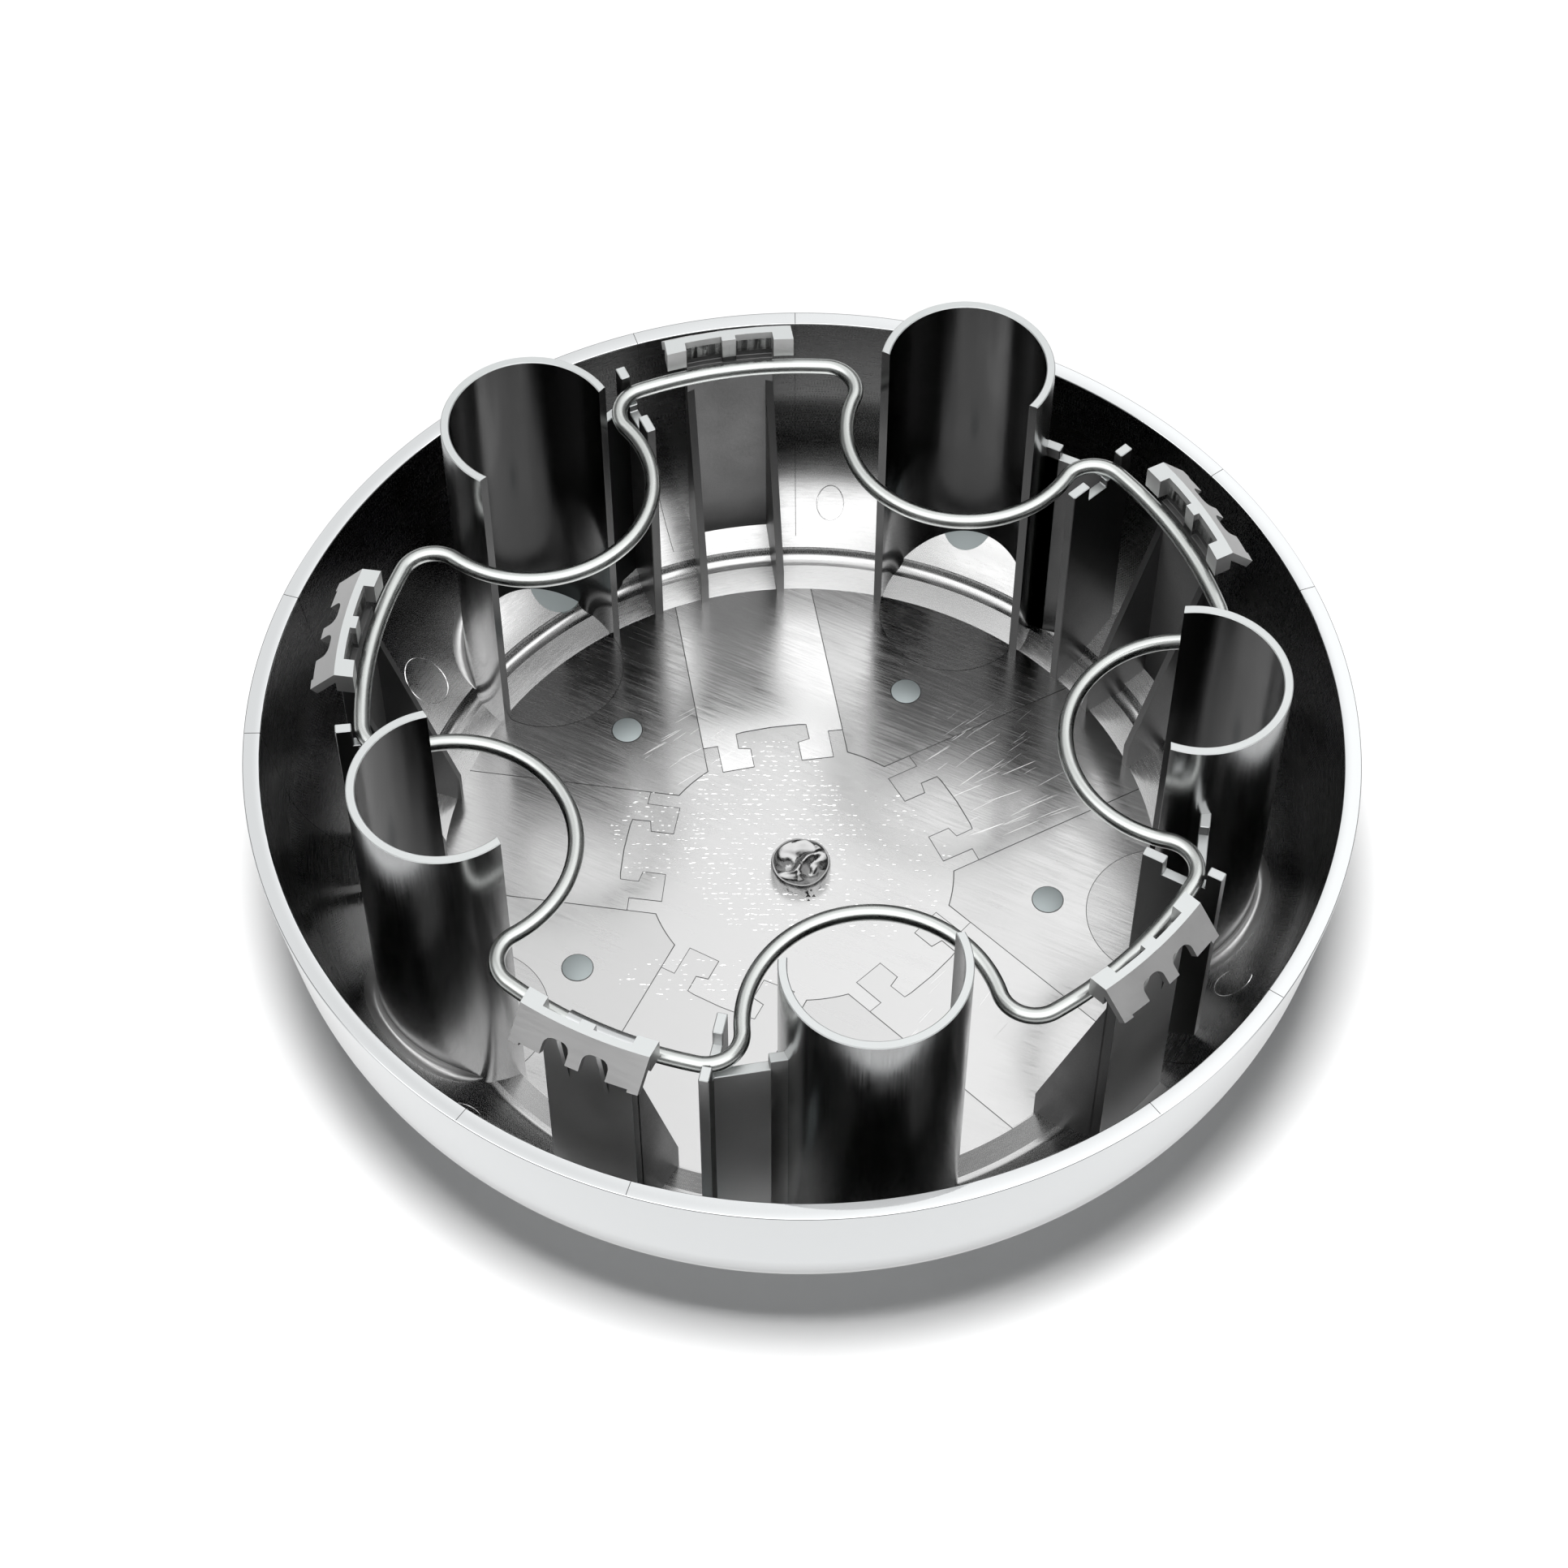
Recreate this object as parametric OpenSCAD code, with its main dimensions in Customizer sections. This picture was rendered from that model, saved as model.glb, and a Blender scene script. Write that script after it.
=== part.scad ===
// Wheel centre cap with five lug-nut tubes, five snap clips and a spring-wire retaining ring
// Millimetres. +Z points out of the open back, and the face lies on Z = 0. One tube stands on +Y.

/* [Shell] */
// Distance of the rim's outside beyond the circle through the tube axes
rim_over = 25.85; // [23:0.05:30]
// Height of the rim above the face
rim_h = 41.5; // [38:0.5:46]
// Width of the flat land on the rim
rim_land = 2.6; // [1.8:0.1:3.2]
// Radius that rolls the side into the face
roll_r = 30; // [26:0.5:32]
// Lean of the side above the roll, in degrees
side_lean = 7; // [5:0.5:9]
// Thickness of the face
face_t = 3; // [2.4:0.1:4]
// Difference between the roll's outside and inside radius
roll_wall = 3.4; // [3:0.1:4]

/* [Floor edge] */
// Distance of the flat floor's edge in from the circle through the tube axes
floor_inset = 0.75; // [0.25:0.05:3]
// Width of the bevel round the floor
bevel_w = 4; // [3:0.2:5]
// Rise of the bevel
bevel_h = 1.2; // [0.6:0.1:1.6]
// Width of the groove between the bevel and the cove
groove_w = 0.5; // [0.3:0.1:1]
// Radius of the cove outside the groove
cove_r = 1.8; // [1.4:0.1:2]

/* [Lug-nut tubes] */
// Number of tubes, and of clips between them
lugs = 5; // [5]
// Radius of the circle through the tube axes
lug_circle_r = 57.15; // [56:0.05:59]
// Outside radius of a tube
tube_r = 13.3; // [12.5:0.1:13.8]
// Wall of a tube
tube_wall = 1.3; // [1:0.1:1.8]
// Height of the tube tops above the face
tube_top = 64; // [60:0.5:68]
// Distance from a tube's axis in to the plane that opens it
tube_open = 3.15; // [2:0.05:5]

/* [Retaining ring] */
// Radius of the round wire
wire_r = 1.2; // [1:0.05:1.25]
// Height of the ring's plane above the face
ring_z = 49; // [48:0.1:50]
// Distance of the ring's outer arcs beyond the circle through the tube axes
ring_over = 7.45; // [7:0.05:7.9]
// Radius of the loops that pass the tubes, about each tube's axis
loop_r = 18.2; // [17.8:0.1:18.6]
// Radius of the bends between arcs and loops
bend_r = 5; // [4.5:0.1:5.5]
// Gap between the wire's two ends inside the sleeve
butt_gap = 0.6; // [0.3:0.1:1]
// Wall of the sleeve over the wire's ends
sleeve_wall = 0.26; // [0.22:0.02:0.3]
// Length of the sleeve, as a share of the ring's outer arc
sleeve_share = 0.396; // [0.3:0.002:0.42]
// Shift of the sleeve's middle from its clip's middle, as a share of the ring's outer arc
sleeve_shift = 0.047; // [0:0.001:0.07]
// Clearance between the ring and what it seats on
ring_gap = 0.08; // [0.05:0.01:0.12]

/* [Clips] */
// Width of a clip's post
post_w = 13.8; // [12:0.2:14.4]
// Thickness of a clip's post
post_t = 2; // [1.6:0.1:2.2]
// Width of a clip's head
head_w = 20; // [18:0.5:21]
// Height of a clip's head above the ring's plane
head_rise = 5.3; // [4.8:0.1:5.6]
// Flat top of a head, outward from the post's inner face
head_flat = 2.1; // [1.9:0.1:2.4]
// Reach of the sloping barb beyond the flat top
barb_reach = 3.6; // [3:0.1:3.8]
// Drop of the sloping barb
barb_drop = 3.9; // [3.4:0.1:4.1]
// Thickness of the barb
barb_t = 1.3; // [1.1:0.1:1.5]
// Width of each end tab that laps over the wire
tab_w = 3.1; // [2.6:0.1:3.6]
// Lap of the end tabs over the wire
tab_lap = 0.7; // [0.4:0.1:0.9]
// Width of the rib between a head's two pockets
pocket_rib_w = 2.2; // [1.8:0.1:2.8]
// Depth of the pockets
pocket_d = 0.9; // [0.6:0.1:1.1]
// Width of a notch in the barb
notch_w = 4; // [3.4:0.1:4.4]
// Depth of a notch, up the slope
notch_d = 3; // [2.4:0.1:3.3]
// Width of the barb's middle finger
finger_w = 2.1; // [1.6:0.1:2.6]
// Radius in the notch's corners
notch_r = 1.4; // [1:0.1:1.6]
// Width of the small toe at each outer corner of the barb
toe_w = 1.6; // [1.2:0.1:2]
// Length of the toe beyond the barb's edge
toe_l = 0.45; // [0.3:0.05:0.6]
// Thickness of the fins that back the barb
fin_t = 0.8; // [0.6:0.1:1]
// Height over which the fins run down the post
fin_h = 12; // [9:0.5:14]

/* [Clip gussets] */
// Thickness of a gusset
gusset_t = 1.2; // [1:0.1:1.5]
// Distance of the gussets' inner end in from the ring's outer arcs
gusset_back = 9.2; // [8.6:0.1:10]
// Height of a gusset's upright end
gusset_end_h = 5; // [3:0.5:7]
// Distance of a gusset's top below the ring's plane
gusset_drop = 4; // [3:0.5:8]

/* [Wire guides] */
// Angle from a guide plate on to the centre of the wire's bend, in degrees
guide_turn = 1.5; // [1.2:0.1:1.9]
// Thickness of the guide plate and its web
guide_t = 1.5; // [1.2:0.1:1.8]
// Distance of the guide plate's inner edge in from the ring's outer arcs
guide_back = 8.6; // [7.6:0.1:9.2]
// Distance of the guide plate's outer edge beyond the ring's outer arcs
guide_over = 3.8; // [3.2:0.1:4.4]
// Distance in from the ring's outer arcs where the guide's slot starts
slot_back = 5.2; // [4.6:0.1:5.8]
// Distance in from the ring's outer arcs where the slot's seat for the wire starts
seat_back = 1.4; // [1.2:0.1:2]
// Width of the post at the slot's outer side
slot_post_w = 2.4; // [2:0.1:2.6]
// Depth of the slot's bottom below the wire's seat
slot_d = 1.4; // [0.8:0.1:2]
// Height of the guide's inner horn above the ring's plane
horn_in_h = 0.3; // [0:0.1:0.8]
// Height of the guide's outer horn above the ring's plane
horn_out_h = 2.3; // [1.6:0.1:3]
// Distance of the web beyond the circle through the tube axes
web_over = 3.25; // [2.65:0.05:3.85]
// Top of the web, below the ring's plane
web_drop = 1.7; // [1.5:0.1:3]
// Rise of the web's step beside the tube
web_step_h = 2; // [1:0.1:3]
// Length of the web's step beside the tube
web_step_l = 3; // [2:0.1:4]

/* [Broken sprue] */
// Radius of the sprue's stump
sprue_r = 4.7; // [4:0.1:5.4]
// Height of the stump
sprue_h = 2.6; // [2:0.1:3.4]
// Wall left round the hollow of the break
sprue_wall = 0.8; // [0.6:0.1:1.2]
// Number of torn shards left inside
shards = 7; // [5:1:9]

/* [Hidden] */
round_fn = 180;
bend_fn = 48;
small_fn = 40;
pitch = 360 / lugs;
half_pitch = pitch / 2;
first_lug = 90;
sleeve_clip = first_lug + half_pitch + 2 * pitch;   // the clip that holds the sleeve
wire_sides = 12;
arc_steps = 4;
bend_steps = 12;
loop_steps = 20;
tiny = 0.01;
bury = 1;                         // how far what stands on the shell is sunk into its wall
// radii that follow the circle through the tube axes and the ring
rim_r = lug_circle_r + rim_over;
floor_r = lug_circle_r - floor_inset;
ring_arc_r = lug_circle_r + ring_over;
gusset_r = ring_arc_r - gusset_back;
guide_in = ring_arc_r - guide_back;
guide_out = ring_arc_r + guide_over;
slot_in = ring_arc_r - slot_back;
seat_in = ring_arc_r - seat_back;
web_r = lug_circle_r + web_over;
// shell
inner_roll_r = roll_r - roll_wall;
tangent_r = rim_r - (rim_h - roll_r * (1 - sin(side_lean))) * tan(side_lean);
tangent_z = roll_r * (1 - sin(side_lean));
face_r = tangent_r - roll_r * cos(side_lean);
wall_shift = 0.6;                 // the inside roll's centre, outward and up from the outside one
inner_c = [face_r + wall_shift, roll_r + wall_shift];
inner_tangent = inner_c + inner_roll_r * [cos(side_lean), -sin(side_lean)];
bevel_r = floor_r + bevel_w;
bevel_z = face_t + bevel_h;
groove_r = bevel_r + groove_w;
// ring: centre of each bend, where the bend touches both the outer arc and the loop
bend_c_r = ring_arc_r - bend_r;
bend_angle = acos((pow(lug_circle_r, 2) + pow(bend_c_r, 2) - pow(bend_r + loop_r, 2))
                  / (2 * lug_circle_r * bend_c_r));
arc_half = half_pitch - bend_angle;
loop_dir = atan2(bend_c_r * sin(bend_angle), bend_c_r * cos(bend_angle) - lug_circle_r);
bend_sweep = bend_angle + 180 - loop_dir;
guide_angle = bend_angle - guide_turn;
seat_z = ring_z - wire_r - ring_gap;
// clips
sleeve_r = wire_r + ring_gap + sleeve_wall;
post_in = ring_arc_r + sleeve_r + ring_gap;
head_z = ring_z + head_rise;
clip_top = head_z + bury;            // where the cuts through a clip end
lap_z = ring_z + wire_r + 3 * ring_gap;
barb_l = norm([barb_reach, barb_drop]);
barb_dir = [barb_reach, -barb_drop] / barb_l;
barb_normal = [-barb_drop, -barb_reach] / barb_l;
barb_top = [post_in + head_flat, head_z];
barb_tip = barb_top + barb_l * barb_dir;
barb_root = (post_in + post_t - (barb_tip + barb_t * barb_normal)[0]) / barb_dir[0];
pocket_w = (head_w - 2 * tab_w - pocket_rib_w) / 2;
sleeve_mid = sleeve_shift * 2 * arc_half;
sleeve_half = sleeve_share * arc_half;
butt_half = butt_gap / ring_arc_r * 90 / PI;

// ---- placing

module at_lugs() {
    for (i = [0:lugs - 1]) rotate(first_lug + i * pitch) children();
}

module at_clips() {
    for (i = [0:lugs - 1]) rotate(first_lug + half_pitch + i * pitch) children();
}

// a plate of thickness t that stands in the plane through the cap's axis, from its outline in radius and height
module radial_plate(t) {
    rotate([90, 0, 0]) translate([0, 0, -t / 2]) linear_extrude(t) children();
}

// ---- shell

module shell_outline() {
    polygon([[0, 0], [face_r, 0], [tangent_r, tangent_z], [rim_r, rim_h], [0, rim_h]]);
    intersection() {
        translate([face_r, roll_r]) circle(roll_r, $fn = round_fn);
        translate([face_r, 0]) square([roll_r, rim_h - bury]);
    }
}

module cavity_outline() {
    polygon([[0, face_t], [floor_r, face_t], [bevel_r, bevel_z], [groove_r, bevel_z], [groove_r, roll_r],
             inner_tangent, [rim_r - rim_land, rim_h], [rim_r - rim_land, rim_h + bury], [0, rim_h + bury]]);
    intersection() {
        translate(inner_c) circle(inner_roll_r, $fn = round_fn);
        translate([floor_r, bevel_z]) square([roll_r, rim_h - roll_r + inner_roll_r]);
    }
    translate([groove_r, bevel_z + cove_r]) circle(cove_r, $fn = small_fn);
}

module shell() {
    rotate_extrude($fn = round_fn) difference() {
        shell_outline();
        cavity_outline();
    }
}

// everything that stands in the shell ends inside the shell's wall
module standing_zone() {
    rotate_extrude($fn = round_fn) {
        translate([0, face_t - bury]) square([face_r, tube_top]);
        intersection() {
            translate([face_r, roll_r]) circle(roll_r - bury, $fn = round_fn);
            translate([face_r - bury, 0]) square([roll_r, roll_r]);
        }
        translate([0, roll_r - tiny]) square([face_r + roll_r - bury, tube_top]);
    }
}

// ---- tubes

module tube() {
    translate([lug_circle_r, 0, 0]) difference() {
        cylinder(h = tube_top, r = tube_r, $fn = round_fn);
        translate([0, 0, -tiny]) cylinder(h = tube_top + 2 * tiny, r = tube_r - tube_wall, $fn = round_fn);
        translate([-2 * tube_r - tube_open, -2 * tube_r, -tiny])
            cube([2 * tube_r, 4 * tube_r, tube_top + 2 * tiny]);
    }
}

// ---- wire guides

module guide_outline() {
    polygon([[guide_in, 0], [guide_in, ring_z + horn_in_h], [slot_in, ring_z + horn_in_h],
             [slot_in, seat_z - slot_d], [seat_in, seat_z - slot_d], [seat_in, seat_z],
             [guide_out - slot_post_w, seat_z], [guide_out - slot_post_w, ring_z + horn_out_h],
             [guide_out, ring_z + horn_out_h], [guide_out, 0]]);
}

module wire_guide() {
    web_l = web_r * tan(guide_angle);
    tube_side = sqrt(pow(tube_r - tube_wall / 2, 2) - pow(web_r - lug_circle_r, 2));
    rotate(-guide_angle) radial_plate(guide_t) guide_outline();
    translate([web_r - guide_t / 2, -web_l, 0]) cube([guide_t, web_l - tube_side, ring_z - web_drop]);
    translate([web_r - guide_t / 2, -tube_side - web_step_l, 0])
        cube([guide_t, web_step_l, ring_z - web_drop + web_step_h]);
}

// ---- clips

module head_outline() {
    polygon([[post_in - tab_lap, lap_z], [post_in - tab_lap, head_z], barb_top, barb_tip,
             barb_tip + barb_t * barb_normal, barb_tip + barb_t * barb_normal + barb_root * barb_dir,
             [post_in + post_t, lap_z]]);
}

// a small toe that carries the barb's edge on by toe_l
module toe_outline() {
    root = -barb_t / 4 * barb_dir;
    polygon([barb_tip + root, barb_tip + toe_l * barb_dir, barb_tip + toe_l * barb_dir + barb_t * barb_normal,
             barb_tip + root + barb_t * barb_normal]);
}

module notch() {
    notch_depth = notch_d + toe_l;
    union() {
        translate([0, -notch_w / 2 + notch_r]) square([notch_depth, notch_w - 2 * notch_r]);
        translate([0, -notch_w / 2]) square([notch_depth - notch_r, notch_w]);
        for (s = [-1, 1])
            translate([notch_depth - notch_r, s * (notch_w / 2 - notch_r)]) circle(notch_r, $fn = small_fn);
    }
}

// places its children on the barb's sloping face: X up the slope from the tip, Y along the clip, Z out of the face
module on_barb() {
    translate([barb_tip[0], 0, barb_tip[1]]) rotate([0, atan2(barb_drop, barb_reach), 0]) mirror([1, 0, 0]) children();
}

module clip_head() {
    difference() {
        intersection() {
            rotate_extrude($fn = round_fn) head_outline();
            translate([0, -head_w / 2, 0]) cube([rim_r, head_w, clip_top]);
        }
        // two pockets behind the wire
        for (s = [-1, 1]) translate([0, s * (pocket_rib_w + pocket_w) / 2, 0]) intersection() {
            translate([0, -pocket_w / 2, lap_z - tiny]) cube([rim_r, pocket_w, head_rise + bury]);
            cylinder(h = clip_top, r = post_in + pocket_d, $fn = round_fn);
        }
        // the rib between them stands flush with the post
        intersection() {
            translate([0, -pocket_rib_w / 2 - tiny, lap_z - tiny]) cube([rim_r, pocket_rib_w + 2 * tiny, head_rise + bury]);
            cylinder(h = clip_top, r = post_in, $fn = round_fn);
        }
        // two notches that leave three fingers
        on_barb() for (s = [-1, 1])
            translate([-toe_l, s * (finger_w + notch_w) / 2, -barb_t - tiny]) linear_extrude(2 * barb_t) notch();
    }
    for (s = [-1, 1]) intersection() {
        rotate_extrude($fn = round_fn) toe_outline();
        translate([0, s * (head_w - toe_w) / 2 - toe_w / 2, 0]) cube([rim_r, toe_w, clip_top]);
    }
}

module post() {
    difference() {
        intersection() {
            rotate_extrude($fn = round_fn) translate([post_in, 0]) square([post_t, head_z - barb_t]);
            translate([0, -post_w / 2, 0]) cube([rim_r, post_w, clip_top]);
        }
        for (s = [-1, 1]) translate([0, s * (pocket_rib_w + pocket_w) / 2, 0]) intersection() {
            translate([0, -pocket_w / 2, lap_z - tiny]) cube([rim_r, pocket_w, head_rise + bury]);
            cylinder(h = clip_top, r = post_in + pocket_d, $fn = round_fn);
        }
    }
}

module fin() {
    fin_top = barb_top + (barb_l - notch_d) * barb_dir + 0.3 * barb_normal;
    fin_root = post_in + post_t * 0.9;
    radial_plate(fin_t) polygon([[fin_root, fin_top[1] - fin_h], fin_top, [fin_root, fin_top[1] + barb_t / 2]]);
}

module gusset() {
    radial_plate(gusset_t) polygon([[post_in + post_t / 2, 0], [gusset_r, 0], [gusset_r, face_t + gusset_end_h],
                                    [post_in, ring_z - gusset_drop], [post_in + post_t / 2, ring_z - gusset_drop]]);
}

module clip() {
    clip_head();
    post();
    for (s = [-1, 1]) {
        translate([0, s * (finger_w + notch_w) / 2, 0]) fin();
        translate([0, s * (post_w - gusset_t) / 2, 0]) gusset();
    }
}

// ---- broken sprue

module sprue() {
    inner_r = sprue_r - sprue_wall;
    translate([0, 0, face_t - bury]) difference() {
        cylinder(h = sprue_h + bury, r = sprue_r, $fn = bend_fn);
        translate([0, 0, bury + 0.6]) cylinder(h = sprue_h + bury, r = inner_r, $fn = bend_fn);
    }
    // torn shards of the wall, each of its own length and height
    for (i = [0:shards - 1]) rotate(i * 360 / shards + 12 * sin(i * 71)) translate([0, 0, face_t])
        linear_extrude(sprue_h * (0.5 + 0.4 * abs(sin(i * 53 + 20)))) polygon([
            [inner_r + sprue_wall / 2, -sprue_wall], [inner_r + sprue_wall / 2, sprue_wall],
            [inner_r * (0.3 + 0.35 * abs(sin(i * 97 + 10))), 0]]);
}

module cap_moulding() {
    color("silver") union() {
        shell();
        intersection() {
            union() {
                at_lugs() {
                    tube();
                    wire_guide();
                }
                at_clips() clip();
            }
            standing_zone();
        }
        sprue();
    }
}

// ---- retaining ring

// stations along an arc of the wire's route: point, and direction of travel, which follows the turn's sign
function arc_stations(c, r, from, to, n) = let (turn = sign(to - from)) [
    for (i = [0:n - 1]) let (a = from + (to - from) * (i + 0.5) / n)
        [c + r * [cos(a), sin(a)], turn * [-sin(a), cos(a)]]
];

function polar(r, a) = r * [cos(a), sin(a)];

// bend, loop round the inner side of one tube, and bend
function lug_stations(a) = concat(
    arc_stations(polar(bend_c_r, a - bend_angle), bend_r, a - bend_angle, a - bend_angle + bend_sweep, bend_steps),
    arc_stations(polar(lug_circle_r, a), loop_r, a + 360 - loop_dir, a + loop_dir, loop_steps),
    arc_stations(polar(bend_c_r, a + bend_angle), bend_r, a + bend_angle - bend_sweep, a + bend_angle, bend_steps)
);

// the whole route, from one butted end inside the sleeve round to the other
function ring_stations() = let (start = sleeve_clip + sleeve_mid) concat(
    [[polar(ring_arc_r, start + butt_half), polar(1, start + butt_half + 90)]],
    [for (i = [0:lugs - 1]) let (a = sleeve_clip + half_pitch + i * pitch)
        each concat(arc_stations([0, 0], ring_arc_r, i == 0 ? start + butt_half : a - half_pitch, a - bend_angle, arc_steps),
                    lug_stations(a),
                    arc_stations([0, 0], ring_arc_r, a + bend_angle, i == lugs - 1 ? start + 360 - butt_half : a + half_pitch,
                                 arc_steps))],
    [[polar(ring_arc_r, start - butt_half), polar(1, start - butt_half + 90)]]
);

// a round wire swept through the stations, in the plane Z = 0, with flat ends
module swept_wire(stations, r) {
    n = len(stations);
    points = [for (s = stations) for (k = [0:wire_sides - 1]) let (b = 360 * k / wire_sides)
        [s[0][0] - s[1][1] * r * cos(b), s[0][1] + s[1][0] * r * cos(b), r * sin(b)]];
    sides = [for (j = [0:n - 2]) for (k = [0:wire_sides - 1]) let (m = (k + 1) % wire_sides)
        [j * wire_sides + k, (j + 1) * wire_sides + k, (j + 1) * wire_sides + m, j * wire_sides + m]];
    first_end = [[for (k = [0:wire_sides - 1]) k]];
    last_end = [[for (k = [wire_sides - 1:-1:0]) (n - 1) * wire_sides + k]];
    polyhedron(points, concat(sides, first_end, last_end), convexity = 10);
}

module retaining_ring() {
    color("gainsboro") translate([0, 0, ring_z]) swept_wire(ring_stations(), wire_r);
}

module ring_sleeve() {
    color("lightgray") translate([0, 0, ring_z]) rotate(sleeve_clip + sleeve_mid - sleeve_half)
        rotate_extrude(angle = 2 * sleeve_half, $fn = round_fn) translate([ring_arc_r, 0]) difference() {
            circle(sleeve_r, $fn = bend_fn);
            circle(wire_r + ring_gap, $fn = bend_fn);
        }
}

cap_moulding();
retaining_ring();
ring_sleeve();
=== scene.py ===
"""Looks of the wheel centre cap: bright chrome on moulded ABS, seen from its open back, with its spring-wire ring.

Every size is in millimetres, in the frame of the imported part, and is turned to metres where a mesh is made.
"""
import logging
import math
from collections.abc import Callable, Sequence
from dataclasses import dataclass, field
from enum import Enum

import bmesh
import bpy
import numpy as np
from bpy.types import ID, Material, Mesh, Node, NodeSocket, NodeTree, Object, World
from mathutils import Matrix, Vector


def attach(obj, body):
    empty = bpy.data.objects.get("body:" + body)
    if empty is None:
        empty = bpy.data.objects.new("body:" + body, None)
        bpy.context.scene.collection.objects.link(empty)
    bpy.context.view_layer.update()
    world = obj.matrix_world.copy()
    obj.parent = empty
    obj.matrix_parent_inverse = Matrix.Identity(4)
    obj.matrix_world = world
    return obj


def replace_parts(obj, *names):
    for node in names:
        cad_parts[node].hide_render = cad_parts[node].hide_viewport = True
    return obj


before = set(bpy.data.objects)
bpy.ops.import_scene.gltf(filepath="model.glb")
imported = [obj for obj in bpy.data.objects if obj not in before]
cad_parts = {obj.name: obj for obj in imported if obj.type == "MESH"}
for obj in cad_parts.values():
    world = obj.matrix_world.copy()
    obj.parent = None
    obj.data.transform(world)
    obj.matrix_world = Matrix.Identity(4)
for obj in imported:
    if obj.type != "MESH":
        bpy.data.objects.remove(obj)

MM = 0.001
LOG = logging.getLogger("centre_cap")
Point2 = tuple[float, float]
Point3 = tuple[float, float, float]
Face = Sequence[int]
Solid = tuple[list[Point3], list[Face]]


# ---- colours and nodes


def linear(code: str) -> tuple[float, float, float, float]:
    """Turns an sRGB hex colour to linear RGBA.

    Args:
        code: Six hex digits, such as "d8dadb".

    Returns:
        The colour as Blender's sockets take it.
    """
    parts = [int(code[i : i + 2], 16) / 255 for i in (0, 2, 4)]
    r, g, b = (c / 12.92 if c <= 0.04045 else ((c + 0.055) / 1.055) ** 2.4 for c in parts)
    return (r, g, b, 1.0)


def add_node(tree: NodeTree, kind: str, inputs: dict | None = None, **settings: object) -> Node:
    """Adds one node, sets its properties, and fills or links its sockets.

    Args:
        tree: The tree that gets the node.
        kind: The node's type name.
        inputs: Socket name or number to a value, to the socket that feeds it, or to a node whose first socket does.
        **settings: The node's own properties.

    Returns:
        The new node.
    """
    node = tree.nodes.new(kind)
    for name, value in settings.items():
        setattr(node, name, value)
    for key, value in (inputs or {}).items():
        value = value.outputs[0] if isinstance(value, Node) else value
        if isinstance(value, NodeSocket):
            tree.links.new(value, node.inputs[key])
        else:
            node.inputs[key].default_value = value
    return node


def cleared_tree(owner: Material | World) -> NodeTree:
    """Turns on the nodes of a material or a world, and empties its tree."""
    owner.use_nodes = True
    owner.node_tree.nodes.clear()
    return owner.node_tree


# ---- meshes


def polar(r: float, degrees: float, centre: Point2 = (0.0, 0.0)) -> Point2:
    """The point at a radius and an angle from a centre."""
    a = math.radians(degrees)
    return centre[0] + r * math.cos(a), centre[1] + r * math.sin(a)


def arc_points(r: float, start: float, end: float, steps: int, centre: Point2 = (0.0, 0.0)) -> list[Point2]:
    """Points of an arc, both ends included.

    Args:
        r: The arc's radius.
        start: Its first angle in degrees.
        end: Its last angle in degrees.
        steps: How many straight steps it has.
        centre: Its centre.

    Returns:
        One point more than there are steps.
    """
    return [polar(r, start + (end - start) * k / steps, centre) for k in range(steps + 1)]


def ring_points(r: float, steps: int, centre: Point2 = (0.0, 0.0)) -> list[Point2]:
    """Points of a full circle, one for each step."""
    return arc_points(r, 0.0, 360.0, steps, centre)[:-1]


def placed(name: str, data: ID) -> Object:
    """Makes an object of its data and links it to the scene."""
    made = bpy.data.objects.new(name, data)
    bpy.context.scene.collection.objects.link(made)
    return made


def make_object(name: str, points: Sequence[Point3], faces: Sequence[Face], sharp: float = 28.0) -> Object:
    """Makes a smooth-shaded mesh object with its faces turned outwards.

    Args:
        name: The object's name.
        points: Vertices in millimetres.
        faces: Vertex numbers of each face.
        sharp: Edges that turn more than this many degrees stay crisp.

    Returns:
        The object, linked to the scene.
    """
    mesh = bpy.data.meshes.new(name)
    mesh.from_pydata([tuple(MM * c for c in p) for p in points], [], [tuple(f) for f in faces])
    work = bmesh.new()
    work.from_mesh(mesh)
    bmesh.ops.recalc_face_normals(work, faces=work.faces)
    work.to_mesh(mesh)
    work.free()
    shade(mesh, sharp)
    return placed(name, mesh)


def shade(mesh: Mesh, sharp: float = 28.0) -> None:
    """Shades a mesh smooth, with crisp edges where it turns by more than sharp degrees."""
    mesh.polygons.foreach_set("use_smooth", [True] * len(mesh.polygons))
    mesh.set_sharp_from_angle(angle=math.radians(sharp))
    mesh.update()


def revolved(profile: Sequence[Point2], segments: int) -> Solid:
    """Turns a closed profile of radius and height round the axis.

    Args:
        profile: Points from the axis back to the axis.
        segments: Steps round the axis.

    Returns:
        Points and faces.
    """
    points: list[Point3] = []
    rings: list[list[int]] = []
    for r, z in profile:
        start = len(points)
        on_axis = r < 1e-6
        points += [(0.0, 0.0, z)] if on_axis else [(x, y, z) for x, y in ring_points(r, segments)]
        rings.append([start] * segments if on_axis else list(range(start, start + segments)))
    faces: list[Face] = []
    for one, two in zip(rings, rings[1:]):
        for k in range(segments):
            m = (k + 1) % segments
            faces.append(tuple(dict.fromkeys((one[k], one[m], two[m], two[k]))))
    return points, faces


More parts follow.
